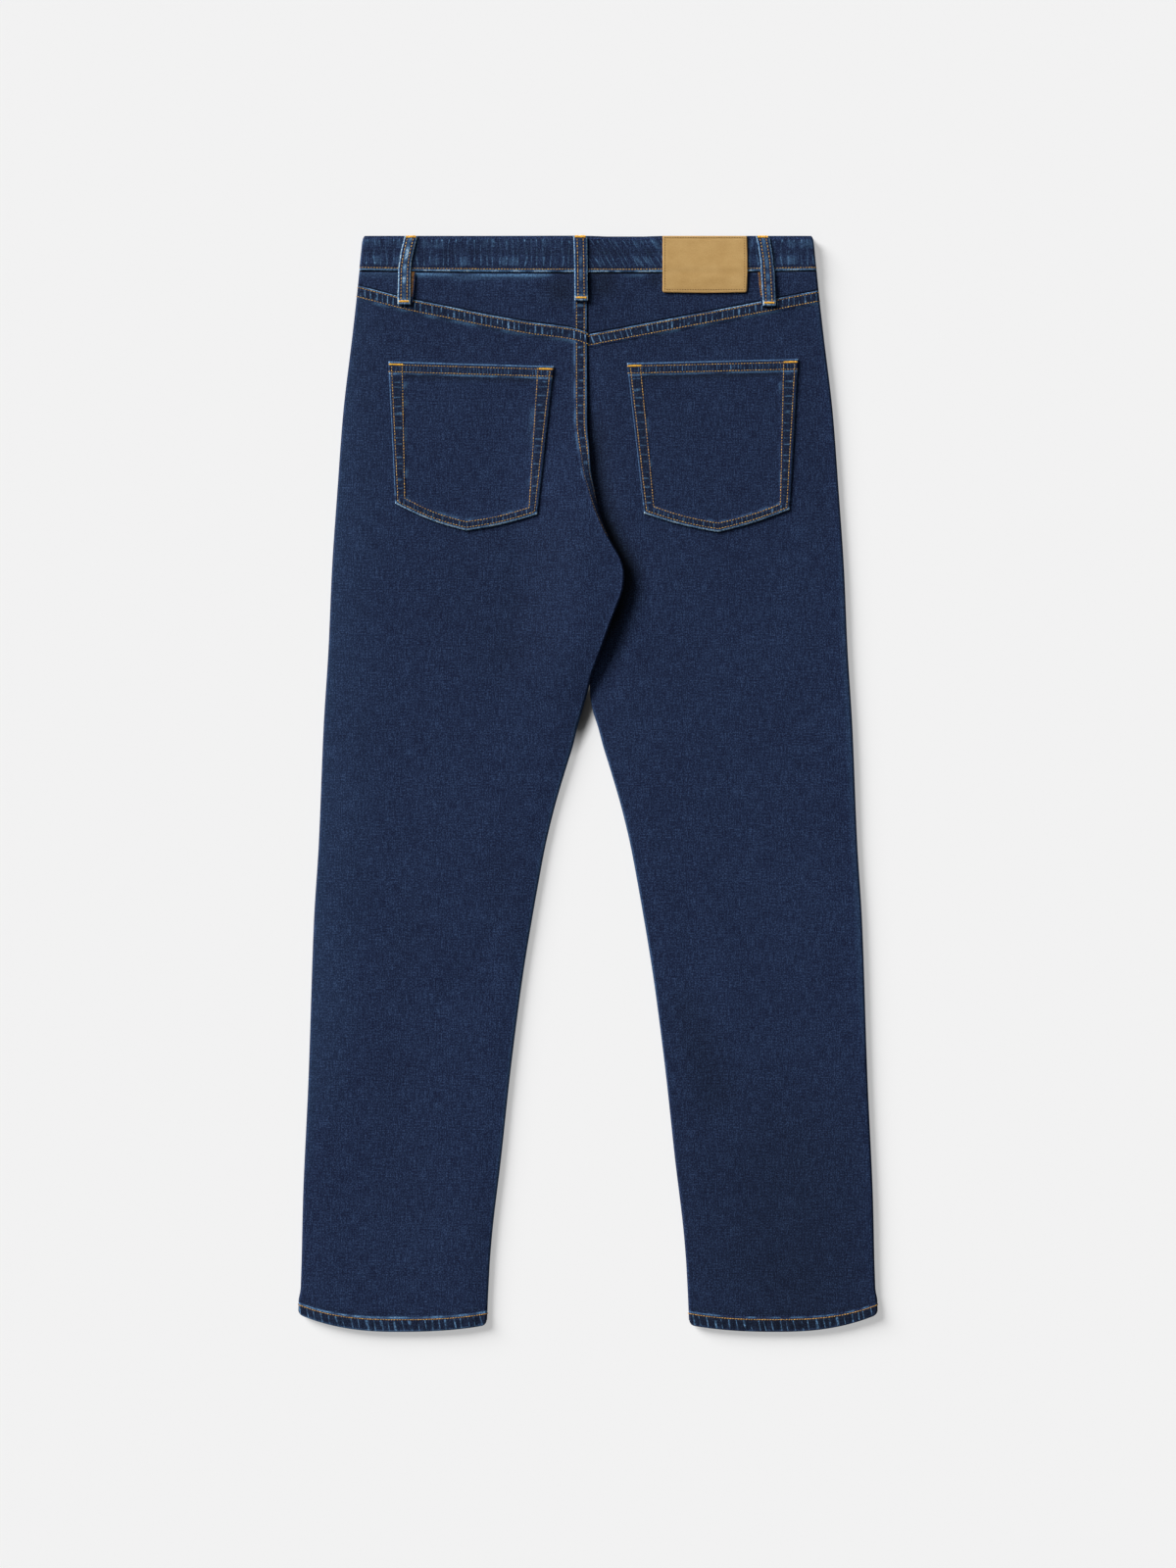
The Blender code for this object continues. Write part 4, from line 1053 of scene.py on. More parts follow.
def hem_rows(hem, raised):
    """Rows of a hem, closer together at its sewing and at its lower edge. Raised is 1 where the
    turned cloth stands up, and 0 where it lies on the floor."""
    def down(x, at):
        height = at * hem_row(hem_place(x)) / HEM_STITCH
        return hem(x) - height - fade((0.0, 9.0), at) * hem_corners(x)

    turned, rounded = fade((13.0, 14.2), HEM_ROWS), fade((0.0, 1.2), HEM_ROWS)
    cloth = mix(CLOTH, HEM_CLOTH, turned) - 1.2 * rounded
    rise = HEM_RISE * turned - 0.25 * bell(HEM_ROWS, HEM_STITCH, 0.8) - 0.6 * rounded
    return Rows(LENGTH - 10, HEM_ROWS, down, cloth, raised * rise)


def back_rows(side):
    """Rows of a back panel, closest below the yoke seam and at the hem."""
    def below_seam(x, at):
        return yoke_seam(side, x) + HALF_GAP + at

    def blend(x, at):
        return mix(below_seam(x, SEAM_ROWS[-1]), FIRST_STRAIGHT, at)

    thin = fade((0.0, 0.8), SEAM_ROWS)
    rise = fell_profile(SEAM_ROWS, *YOKE_ROWS[side]) - 0.3 * thin
    return (
        Rows(90, SEAM_ROWS, below_seam, CLOTH - 0.5 * thin, rise),
        Rows(130, shares_inside(7), blend, CLOTH, 0.0),
        straight_rows(BACK_STEP),
        hem_rows(back_hem, 1.0),
    )


def yoke_rows(side):
    """Rows of a yoke: it sinks a little beside the waistband and beside the fold of its seam."""
    def below_band(x, at):
        return band_edge(x) + HALF_GAP + at

    def above_seam(x, at):
        return yoke_seam(side, x) - HALF_GAP - at

    def blend(x, at):
        return mix(below_band(x, YOKE_TOP_ROWS[-1]), above_seam(x, YOKE_LOW_ROWS[0]), at)

    return (
        Rows(70, YOKE_TOP_ROWS, below_band, CLOTH, -0.5 * fade((0.3, 1.9), YOKE_TOP_ROWS)),
        Rows(70, shares_inside(18), blend, CLOTH, 0.0),
        Rows(70, YOKE_LOW_ROWS, above_seam, CLOTH, -0.5 * fade((0.2, 1.6), YOKE_LOW_ROWS)),
    )


def front_rows():
    """Rows of a front panel, closest below the waistband and the scoop, and at the hem."""
    def below_scoop(x, at):
        return mix(scoop(x), FIRST_STRAIGHT, at)

    top = Rows(80, FRONT_TOP_SHARES, below_scoop, CLOTH, 0.0)
    return top, straight_rows(FRONT_STEP), hem_rows(front_hem, 0.0)


def weave_of(outer):
    """Place on the cloth in millimetres: along each row, and down."""
    steps = np.linalg.norm(np.diff(outer, axis=1), axis=2)
    along = np.pad(np.cumsum(steps, axis=1), ((0, 0), (1, 0)))
    middle = outer.shape[1] // 2
    turn = np.sign(outer[:, -1:, 0] - outer[:, :1, 0])
    across = outer[:, middle, None, 0] + turn * (along - along[:, middle, None])
    return layers(across, outer[:, :, 1])


# ---------------------------------------------------------------- the pieces


def make_back(side, word):
    """A back panel, with puckers along its yoke seam, its centre seam and its hem."""
    outer, inner = grid_of(side, BACK, back_rows(side))
    x, down, _ = np.moveaxis(outer, -1, 0)
    below_seam = down - yoke_seam(side, x)
    first, last = YOKE_ROWS[side]
    at_yoke = between(below_seam, first + 1.2, last - 1.2, 0.8)
    at_hem = hem_rope(back_hem, x, down)
    at_centre = centre_rungs(side, x, down) * ease((last + 3, last + 6), below_seam)
    lean = 0.35 * fade((25, 110), x) if side == RIGHT else 0.0
    along = np.where(
        at_hem > 0, (x - HEM_PUCKER_LEAN * down) / HEM_PUCKERS, (x - lean * below_seam) / SEAM_PUCKERS
    )
    along = np.where(at_centre > 0, down / SIDE_PUCKERS, along)
    beside = PUCKER_RUN * np.where(at_centre > 0, x, down)
    rope = layers(along, beside, 0.7 * at_yoke + at_hem + at_centre)
    return Cut("back_" + word, outer, inner, weave_of(outer), back_wear_and_shade(side, x, down), rope)


def make_yoke(side, word):
    """A yoke, with painted shadow beside the waistband and its seam."""
    outer, inner = grid_of(side, BACK, yoke_rows(side))
    x, down, _ = np.moveaxis(outer, -1, 0)
    below_band = down - band_edge(x)
    blotches = spots(41, x, down, 24, 5, 0.6, 0.25) * (1.0 if side == LEFT else 0.55)
    wear = (
        0.22 * between(below_band, 2.0, 3.0, 1.2) * blotches
        + 0.26 * fade((2.0, 11.0), below_band) * blotches
        # Painted shadow under the waistband's lower edge, and above the fold of the yoke seam
        - 1.1 * fade((0.6, 1.9), below_band)
        - 0.55 * fade((0.8, 2.2), yoke_seam(side, x) - down)
        - painted_shade_of(side, x, down)
    )
    # Painted shade beside the centre loop and beside the patch: x, half width and lower end
    for centre, width, last in ((-28.0, 17.0, 76.0), (14.0, 15.0, 70.0), (69.0, 9.0, 58.0)):
        wear = wear - 0.4 * bell(x, centre, width) * fade((last - 16, last), down)
    if side == LEFT:
        wear = wear + centre_wear_and_shade(x, down)
    rope = layers(down / SIDE_PUCKERS, PUCKER_RUN * x, centre_rungs(side, x, down))
    return Cut("yoke_" + word, outer, inner, weave_of(outer), wear, rope)


def make_front(side, word):
    """A front panel, rubbed at its scoop and its hem."""
    outer, inner = grid_of(side, FRONT, front_rows())
    x, down, _ = np.moveaxis(outer, -1, 0)
    at_scoop = fade((0.6, 1.8), down - scoop(x)) * (np.abs(x) > SCOOP_START)
    wear = (
        hem_wear_and_shade(front_hem, x, down) + 0.55 * at_scoop
        + 0.10 * fade((0.0, 6.0), from_side_seam(x, down))
    )
    at_hem = hem_rope(front_hem, x, down)
    rope = layers((x - HEM_PUCKER_LEAN * down) / HEM_PUCKERS, PUCKER_RUN * down, at_hem)
    return Cut("front_" + word, outer, inner, weave_of(outer), wear, rope)


def make_facing(side, word):
    """The cloth behind a front pocket's scoop, sewn in at the side seam, where it rolls up."""
    flat = np.concatenate([[FACING_START], np.arange(96.0, 226.0, 4.0)])
    angles = np.concatenate([np.full(len(flat), 90.0), np.linspace(90, 0, 7)])
    rolled = np.arange(len(angles)) >= len(flat)
    places = np.pad(flat, (0, len(angles) - len(flat)))
    out_in, inside_in, up = roll(FRONT_ROLL, FACING_CLOTH, angles)
    share = np.linspace(0, 1, 24)[:, None]
    down = np.full((len(share), len(angles)), SCOOP_TOP)
    for _ in range(3):
        edge = side_seam(down)
        distance = np.where(rolled, edge - out_in, places)
        low_edge = scoop(distance) + np.where(rolled, -GAP, FACING_LAP)
        down = mix(SCOOP_TOP, np.maximum(low_edge, SCOOP_TOP + 2 * FACING_LAP), share)
    x = side * distance
    inside = side * np.where(rolled, edge - inside_in, places)
    level = front_stand(x, down) + CLOTH + FACING_GAP
    lift = 0.12 * (1 + ripple(95, x, down, 26, 30)) * ease((FACING_START, 110.0), distance)
    lift = lift * fade((222.0, 232.0), distance)
    seam = seam_height(down) - HALF_GAP
    outer = layers(x, down, mix(seam, level, up) + lift)
    inner = layers(inside, down, mix(seam, level + FACING_CLOTH, up) + lift)
    zero = np.zeros_like(x)
    return Cut("pocket_facing_" + word, outer, inner, weave_of(outer), zero, layers(x, down, 0.0))


# A stretch of the waistband, from the buttonhole end round the back to the underlap: its side,
# whether it lies on the back, whether it rolls round a side seam, its places (x, or angles where
# it rolls) and how far it is lifted
Stretch = namedtuple("Stretch", "side on_back rolled places lift")
BAND_STRETCHES = (
    Stretch(LEFT, False, False, np.linspace(BUTTONHOLE_END, -198.0, 88), 0.0),
    Stretch(LEFT, False, True, np.linspace(90, 0, 9)[1:], 0.0),
    Stretch(LEFT, True, True, np.linspace(0, 90, 13)[1:], 0.0),
    Stretch(RIGHT, True, False, np.linspace(-222.0, 222.0, 214)[1:-1], 0.0),
    Stretch(RIGHT, True, True, np.linspace(90, 0, 13), 0.0),
    Stretch(RIGHT, False, True, np.linspace(0, 90, 9)[1:], 0.0),
    Stretch(RIGHT, False, False, np.linspace(200.0, UNDERLAP_STEP[0], 80)[1:], 0.0),
    Stretch(RIGHT, False, False, np.linspace(UNDERLAP_STEP[1], UNDERLAP_END, 18), UNDERLAP_LIFT),
)


def band_section(stretch, down):
    """Outer and inner points (x, z) of a stretch of the waistband."""
    height, radius, cloth = band_bottom, FRONT_ROLL, BAND_CLOTH
    if stretch.on_back:
        height, radius, cloth = band_top, BACK_ROLL, -BAND_CLOTH
    x = inside = stretch.places + np.zeros_like(down)
    up = 1.0
    if stretch.rolled:
        out_in, inside_in, up = roll(radius, BAND_CLOTH, stretch.places)
        x = stretch.side * (side_seam(down) - out_in)
        inside = stretch.side * (side_seam(down) - inside_in)
    face = height(x, down) + stretch.lift
    seam = seam_height(down)
    return x, mix(seam, face, up), inside, mix(seam, face + cloth, up)


def make_waistband():
    """The waistband, its wrinkles upright, and slanted right of the centre."""
    row = BAND_ROWS[:, None]
    sections = [band_section(stretch, row) for stretch in BAND_STRETCHES]
    x, z, inside_x, inside_z = (np.concatenate(parts, 1) for parts in zip(*sections))
    on_back = np.concatenate([np.full(len(part.places), part.on_back) for part in BAND_STRETCHES])
    upward = row / BAND_DEPTH
    corner = rounded_off(BAND_CORNER, from_side_seam(x, row))
    down = (
        row + (band_edge(x) - BAND_DEPTH) * upward ** 2
        + 1.3 * bell(x, 37.0, 26.0) * (1 - upward) * on_back
        + corner * fade((0.0, 3 * BAND_CORNER), row)
    )
    outer, inner = layers(x, down, z), layers(inside_x, down, inside_z)
    weave = weave_of(outer)
    along = along_path(outer[BAND_MIDDLE_ROW])[None, :]

    upright = 0.75 * ripple(61, along, row, 3.3, 15) + 0.55 * ripple(62, along, row, 12, 13)
    slanted = 1.25 * ripple(63, along - 0.75 * row, row + 0.4 * along, 5.0, 40)
    crest = mix(upright, slanted, between(x, 14.0, 78.0, 12.0))
    inside = between(row, 4.5, 30.5, 3.0)
    rounded = fade((0.0, 1.3), row) + 0.6 * fade((0.0, 0.8), BAND_ROWS[-1] - row)
    relief = (
        0.22 * crest * inside - 0.7 * rounded
        + 0.22 * ripple(64, along, row, 3.6, 9) * bell(row, 4.6, 1.6)
        - 0.25 * (bell(row, BAND_LOW_ROW, 0.8) + 0.7 * bell(row, BAND_TOP_ROW, 0.7))
    )
    away = outer - inner
    away = away / np.linalg.norm(away, axis=2, keepdims=True)
    outer = outer + away * relief[:, :, None]
    inner = inner + away * (0.7 * rounded)[:, :, None]

    least = mix(0.55, 0.2, between(x, -60.0, 160.0, 40.0))
    wear = (
        0.9 * between(row, 35.0, 36.4, 0.5) * spots(66, along, row, 7, 6, 0.6, least)
        + 0.15 * np.clip(crest, -1, 1) * inside
        - 0.2 * bell(row, 31.2, 1.2) - 0.2 * bell(row, 16.5, 3.5)
        + 0.07 * spots(67, along, row, 9, 6, 0.0) * between(row, 6.0, 30.0, 2.0)
        # Painted shade about the centre loop
        - 0.14 * bell(x, -8.0, 26.0) * on_back
    )
    strokes = (
        0.4 * between(row, 22.5, 29.5, 2.5) + 0.6 * bell(row, 5.2, 1.4)
        + 0.13 * between(row, 8.0, 20.0, 3.0)
    )
    slant = 0.6 * between(x, -2.0, 110.0, 12.0)
    rope = layers((along - slant * row) / BAND_PUCKERS, 0.3 * row, strokes)
    return Cut("waistband", outer, inner, weave, wear, rope)


def pocket_grid(pocket):
    """Places over a back pocket, by rows from its mouth and columns from its outer edge, and
    their distances from its outer edge, its inner edge, its mouth and its foot."""
    outer_top, inner_top, inner_bottom, point, outer_bottom = np.array(pocket[2:7])
    width = np.linalg.norm(inner_top - outer_top)
    across = np.arange(17.5, width - 16.5, POCKET_STEP)
    u = np.concatenate([POCKET_SIDE_IN, across, width - POCKET_SIDE_IN[::-1]])[:, None] / width
    peak = (point - outer_bottom)[0] / (inner_bottom - outer_bottom)[0]
    near_side, far_side = np.clip(u / peak, 0, 1), np.clip((u - peak) / (1 - peak), 0, 1)
    foot_line = np.where(
        u > peak,
        bowed(point, inner_bottom, pocket.bows[1], far_side),
        bowed(outer_bottom, point, pocket.bows[0], near_side),
    )
    mouth_line = mix(outer_top, inner_top, u)
    length = np.linalg.norm(foot_line - mouth_line, axis=1)
    ends = POCKET_MOUTH_IN[:, None] + 0 * length, length - POCKET_FOOT_IN[::-1, None]
    middle = mix(ends[0][-1], ends[1][0], shares_inside(34)[:, None])
    from_mouth = np.concatenate([ends[0], middle, ends[1]])
    places = mix(mouth_line, foot_line, (from_mouth / length)[:, :, None])
    from_outer = np.broadcast_to(u[:, 0] * width, from_mouth.shape)
    return places, from_outer, width - from_outer, from_mouth, length - from_mouth


def make_pocket(pocket):
    """A back pocket: turned edges, a hemmed mouth, and grooves and ropes along its sewing."""
    places, from_outer, from_inner, from_mouth, from_foot = pocket_grid(pocket)
    x, down = places[:, :, 0], places[:, :, 1]
    base = back_height(pocket.side, x, down) + back_relief(pocket.side, x, down) + GAP
    share = from_mouth / (from_mouth + from_foot)
    outer_rows, inner_rows = mix(*pocket.rows_outer, share), mix(*pocket.rows_inner, share)
    beside = np.minimum(from_outer - outer_rows, from_inner - inner_rows) - POCKET_ROW
    above_foot = from_foot - POCKET_ROW - POCKET_BOTTOM_ROWS
    from_sides = np.minimum(from_outer, from_inner)
    rounded = fade((0.0, 1.0), np.minimum(from_sides, np.minimum(from_mouth, from_foot)))
    turned = fade((0.8, 2.6), np.minimum(beside, above_foot))
    hemmed = fade((MOUTH_HEM - 0.6, MOUTH_HEM + 0.6), from_mouth)

    def marks(seed, size_x, size_y):
        return ripple(pocket.seed + seed, x, down, size_x, size_y)

    grooves = 0.0
    for distance, rows in (
        (from_mouth, MOUTH_ROWS),
        (from_outer, (POCKET_ROW, POCKET_ROW + outer_rows)),
        (from_inner, (POCKET_ROW, POCKET_ROW + inner_rows)),
        (from_foot, (POCKET_ROW, POCKET_ROW + POCKET_BOTTOM_ROWS)),
    ):
        grooves = grooves + bell(distance, rows[0], 0.7) + bell(distance, rows[1], 0.7)
    at_side = np.maximum(
        between(from_outer, POCKET_ROW + 1, POCKET_ROW + outer_rows - 1, 0.8),
        between(from_inner, POCKET_ROW + 1, POCKET_ROW + inner_rows - 1, 0.8),
    )
    at_foot = between(from_foot, POCKET_ROW + 0.8, POCKET_ROW + POCKET_BOTTOM_ROWS - 0.8, 0.8)
    relief = (
        0.5 * turned + 0.5 * hemmed * (1 - 0.6 * turned) - 0.2 * np.clip(grooves, 0, 1)
        + 0.2 * marks(0, 3.6, 18) * between(from_mouth, 4.6, 9.4, 1.0)
        + 0.18 * marks(1, 18, 3.8) * at_side + 0.18 * marks(2, 4.0, 4.0) * at_foot
        + 0.10 * marks(3, 34, 50)
    )
    z = base + POCKET_CLOTH - 0.35 * rounded + relief * (1 - 0.5 * rounded)

    speckle = 0.5 + 0.5 * marks(4, 6.0, 6.0)
    at_mouth = between(from_mouth, 4.6, 9.4, 0.8)
    at_side = at_side * ease((MOUTH_HEM + 1, MOUTH_HEM + 4), from_mouth) * ease((9.0, 12.0), from_foot)
    edges = (
        0.45 * fade((0.8, 1.8), from_mouth) * (0.6 + 0.4 * speckle)
        + 0.36 * fade((0.4, 1.1), from_sides) * (0.7 + 0.3 * speckle)
    )
    below_hem = between(from_mouth, MOUTH_HEM + 1.6, MOUTH_HEM + 3.4, 1.6)
    rubbed_beside = bell(beside, 3.0, 2.4) * np.clip(marks(8, 6, 9), 0, 1)
    wear = (
        np.maximum(edges, 1.1 * fade((1.0, 2.0), from_foot) * (0.6 + 0.4 * speckle))
        + 0.6 * bell(from_mouth, MOUTH_HEM, 0.85) * np.clip(marks(5, 14, 9) + 0.9, 0.4, 1)
        # Painted shadow below the mouth's hem, and darker cloth between the rows
        - 0.4 * below_hem * (1 - turned) - 0.25 * at_mouth - 0.35 * at_side - 0.35 * at_foot
        + 0.35 * bell(above_foot, 2.0, 1.2) * np.clip(marks(7, 7, 7) + 0.2, 0, 1)
        + 0.35 * rubbed_beside * ease((MOUTH_HEM, MOUTH_HEM + 9), from_mouth)
        + 0.5 * bell(nearest(x, down, pocket.inner_bottom, pocket.outer_bottom), 0.0, 2.4)
        + 0.35 * bell(nearest(x, down, pocket.inner_top, pocket.outer_top), 0.0, 2.6)
        # Painted shade, deeper on the right pocket
        - pocket.dye
    )
    upright = (at_side > 0) & (at_foot < 0.01)
    along = x / np.where(from_mouth < MOUTH_HEM, MOUTH_PUCKERS, FOOT_PUCKERS)
    along = np.where(upright, down / SIDE_PUCKERS, along)
    crossing = PUCKER_RUN * np.where(upright, x, down)
    rope = layers(along, crossing, 0.46 * at_mouth + 0.38 * at_side * upright + 0.46 * at_foot)
    return Cut(pocket.name, layers(x, down, z), layers(x, down, base), places, wear, rope)


def make_patch():
    """Leather patch over the waistband and the yoke, its lower corners rounded."""
    width, height = PATCH_RIGHT - PATCH_LEFT, PATCH_BOTTOM - PATCH_TOP
    u, v = np.meshgrid(*(
        np.concatenate([PATCH_IN, np.linspace(6.0, size - 6.0, count), size - PATCH_IN[::-1]]) / size
        for size, count in ((width, 30), (height, 20))
    ))
    right = PATCH_RIGHT + PATCH_BOWS[0] * np.sin(math.pi * v)
    bottom = PATCH_BOTTOM + PATCH_BOWS[1] * np.sin(math.pi * u)
    x, down = mix(PATCH_LEFT, right, u), mix(PATCH_TOP, bottom, v)
    inward, upward = np.minimum(u, 1 - u) * width, (1 - v) * height
    square = (inward < PATCH_CORNER) & (upward < PATCH_CORNER)
    reach = np.hypot(PATCH_CORNER - inward, PATCH_CORNER - upward)
    largest = PATCH_CORNER - np.minimum(inward, upward)
    squeeze = np.where(square, largest / np.maximum(reach, 1e-6), 1.0)
    centre_x = np.where(u < 0.5, PATCH_LEFT + PATCH_CORNER, right - PATCH_CORNER)
    centre_down = mix(PATCH_TOP, bottom, 1 - PATCH_CORNER / height)
    x = np.where(square, mix(centre_x, x, squeeze), x)
    down = np.where(square, mix(centre_down, down, squeeze), down)

    low = band_top(x, np.minimum(down, BAND_DEPTH)) + PATCH_LIFTS[0]
    end = back_height(RIGHT, x, PATCH_BOTTOM) + PATCH_LIFTS[1]
    low = mix(low, end, np.clip((down - BAND_DEPTH) / (PATCH_BOTTOM - BAND_DEPTH), 0, 1))
    edge = np.minimum(inward, np.minimum(upward, v * height))
    rounded = fade((0.0, 0.8), edge)
    groove = bell(edge, PATCH_ROW, 0.55)
    relief = (
        0.08 * ripple(91, x, down, 16, 14) - 0.25 * bell(down, BAND_DEPTH + 1.0, 3.0)
        - 0.16 * groove
    )
    z = low + PATCH_CLOTH + relief * (1 - rounded) - 0.35 * rounded
    wear = 0.6 * rounded + 0.25 * bell(edge, 0.0, 3.0)
    place = layers(x, down)
    return Cut("patch", layers(x, down, z), layers(x, down, low), place, wear, layers(x, down, groove))


def loop_centre(loop, down):
    """X of a loop's upper layer."""
    over_band = mix(loop.x_seam, loop.x_top, np.clip(1 - down / BAND_DEPTH, 0.0, 1.0) ** 1.5)
    share = (down - BAND_DEPTH) / (loop.fold_down - BAND_DEPTH)
    return np.where(down < BAND_DEPTH, over_band, mix(loop.x_seam, loop.x_fold, share))


def loop_path(loop):
    """The loop's middle line as (down, height): tail, fold, then up over the waistband; and the
    number of its points up to the fold."""
    side = LEFT if loop.x_seam < 0 else RIGHT
    half = loop.width / 2
    half_cloth = LOOP_CLOTH / 2
    turn = LOOP_CLOTH + GAP
    turn_down = loop.fold_down - half_cloth - turn / 2

    def under(down):
        """Height of the cloth under the loop, with the seams that it lies on."""
        reach = loop_centre(loop, down) + np.array((-1, 0, 1)) * (half + abs(loop.tail_shift))
        on_centre = abs(loop.x_seam) < 12.0 + half
        on_yoke_seam = down > yoke_seam(side, loop.x_fold) - loop.width
        fell = FELL_RISE if on_centre or on_yoke_seam else 0.0
        return back_height(side, reach, down).max() + fell + LOOP_CLEARANCE

    knots = np.array([BAND_DEPTH + 0.8, 46.0, 56.0, turn_down])
    heights = np.array([under(down) for down in knots]) + half_cloth
    tail = np.concatenate([np.arange(BAND_DEPTH + 1.0, turn_down - 1, 3.0), [turn_down]])
    swing = np.radians(np.arange(22.5, 180.0, 22.5))
    upper = np.concatenate([np.arange(turn_down, 38.5, -1.3), [38.0]])
    over = np.concatenate([np.arange(35.5, LOOP_TOP + 1.5, -1.5), [1.4, LOOP_TOP]])
    across = loop_centre(loop, over)[:, None] + half * np.array((-1, 0, 1))
    top = band_top(across, over[:, None]).max(1) + LOOP_CLEARANCE + half_cloth
    bulge = LOOP_BULGE * np.sin(math.pi * np.minimum(over / BAND_DEPTH, 1.0))
    path = (
        (tail, np.interp(tail, knots, heights)),
        (turn_down + turn / 2 * np.sin(swing), heights[-1] + turn / 2 * (1 - np.cos(swing))),
        (upper, np.interp(upper, knots, heights) + turn),
        (over, top + bulge),
    )
    return np.concatenate([layers(*part) for part in path]), len(tail) + len(swing)


def make_back_loop(loop):
    """A belt loop along its middle line: crowned, its edges folded thin, rubbed at the fold."""
    path, tail_count = loop_path(loop)
    run = np.concatenate([path[1:], path[-1:]]) - np.concatenate([path[:1], path[:-1]])
    run = run / np.linalg.norm(run, axis=1, keepdims=True)
    travelled = along_path(path)[:, None]
    half = loop.width / 2 + 0.25 * ripple(loop.seed, travelled, np.zeros_like(travelled), 9, 9)
    across = LOOP_SHARES * half
    steps = np.arange(len(path))[:, None]
    shift = loop.tail_shift * fade((0, tail_count), steps)
    x = loop_centre(loop, path[:, :1]) + shift + across
    edge = half - np.abs(across)
    thin = fade((0.0, 0.9), edge)
    crown = 0.22 * (1 - LOOP_SHARES ** 2) + 0.12 * ripple(loop.seed + 1, travelled, across, 6, 4)
    groove = bell(np.abs(across), LOOP_ROW, 0.6)
    thick = LOOP_CLOTH / 2 + crown * (1 - thin) - 0.4 * thin - 0.18 * groove

    def face(distance):
        return layers(x, path[:, :1] + run[:, 1:] * distance, path[:, 1:] - run[:, :1] * distance)

    speckle = 0.5 + 0.5 * ripple(loop.seed + 2, travelled, across, 4, 2.5)
    marks = spots(loop.seed + 3, travelled, across, 6, 4, 0.5, 0.15)
    wear = (
        (0.78 + 0.2 * loop.rubbed) * fade((0.4, 1.4), edge) * (0.6 + 0.4 * speckle)
        + 0.45 * loop.rubbed * fade((1.2, 2.6), np.abs(across)) * marks
    )
    wear = wear * (steps > tail_count - 4) + 0.6 * fade((1.0, 5.0), np.abs(steps - tail_count))
    weave, rope = layers(across, travelled), layers(across, travelled, 0.0)
    return Cut(loop.name, face(thick), face(-LOOP_CLOTH / 2), weave, np.clip(wear, 0, 1.4), rope)


def make_front_loop(loop):
    """A belt loop of the front, flat between the waistband and the floor."""
    middle = np.arange(3.0, loop.fold_down - 1, 2.2)
    down = np.concatenate([[LOOP_TOP, 1.2], middle, [loop.fold_down]])[:, None]
    across = LOOP_SHARES * loop.width / 2
    x = loop_centre(loop, down) + across
    edge = np.minimum(loop.width / 2 - np.abs(across), loop.fold_down - down)
    groove = bell(np.abs(across), LOOP_ROW, 0.6)
    outer = layers(x, down, THREAD_ROOM + 0.35 * fade((0.0, 0.9), edge) + 0.15 * groove)
    speckle = 0.5 + 0.5 * ripple(loop.seed, down, across, 4, 2.5)
    wear = (
        0.85 * fade((0.7, 1.7), edge) * (0.6 + 0.4 * speckle)
        + 0.3 * fade((1.4, 3.0), np.abs(across))
    )
    weave, rope = layers(across, down), layers(across, down, 0.0)
    return Cut(loop.name, outer, layers(x, down, LOOP_CLOTH), weave, wear, rope)


# ---------------------------------------------------------------- finishes


def colour(code):
    """A linear colour from an sRGB hex value."""
    parts = [int(code[i:i + 2], 16) / 255 for i in (1, 3, 5)]
    linear = [part / 12.92 if part <= 0.04045 else ((part + 0.055) / 1.055) ** 2.4 for part in parts]
    return (*linear, 1.0)


def node(tree, kind, inputs=None, **settings):
    """Add a node; an input is a value, or the socket or node (its first output) linked to it."""
    made = tree.nodes.new(kind)
    for name, value in settings.items():
        setattr(made, name, value)
    for key, value in (inputs or {}).items():
        if isinstance(value, bpy.types.Node):
            value = value.outputs[0]
        if isinstance(value, bpy.types.NodeSocket):
            tree.links.new(value, made.inputs[key])
        else:
            made.inputs[key].default_value = value
    return made


def new_material(name):
    material = bpy.data.materials.new(name)
    material.use_nodes = True
    material.node_tree.nodes.clear()
    return material, material.node_tree


def shaded(tree, inputs):
    """Finish a material: its surface with the given inputs."""
    shader = node(tree, "ShaderNodeBsdfPrincipled", inputs)
    node(tree, "ShaderNodeOutputMaterial", {"Surface": shader})


def weighted(tree, *parts, start=0.0):
    """The sum of a start and of values times their weights."""
    for value, weight in parts:
        start = node(tree, "ShaderNodeMath", {0: value, 1: weight, 2: start}, operation="MULTIPLY_ADD")
    return start


def shades(tree, value, low, high, start, end):
    """A colour that goes from start to end as a value goes from low to high."""
    share = node(tree, "ShaderNodeMapRange", {0: value, 1: low, 2: high})
    return node(tree, "ShaderNodeMix", {0: share, 6: start, 7: end}, data_type="RGBA").outputs[2]


def grain(tree, place, size_x, size_y, detail=2.0, roughness=0.5):
    """Random marks about size_x by size_y millimetres on a place in millimetres."""
    scaled = node(tree, "ShaderNodeMapping", {"Vector": place, "Scale": (1 / size_x, 1 / size_y, 1.0)})
    inputs = {"Vector": scaled, "Scale": 1.0, "Detail": detail, "Roughness": roughness}
    return node(tree, "ShaderNodeTexNoise", inputs)


# The deepest blue, toward which painted shade darkens the cloth
INDIGO_SHADE_DEEP = "#0a0f14"
INDIGO_DARK = "#0e152e"
INDIGO = "#192541"
INDIGO_LIGHT = "#33476a"
RUBBED_BLUE = "#5f8ab4"
RUBBED_PALE = "#a9bfcc"
TWILL_STEP = 0.9
TWILL_SLANT = math.radians(-55)
# In a millimetre: the twists of a thread's plies, and the marks on the button's plate
PLY_TWISTS = 2.2
PLATE_MARKS = 0.9
# A wave's bands are this far apart at scale 1
WAVE_STEP = math.tau / 20


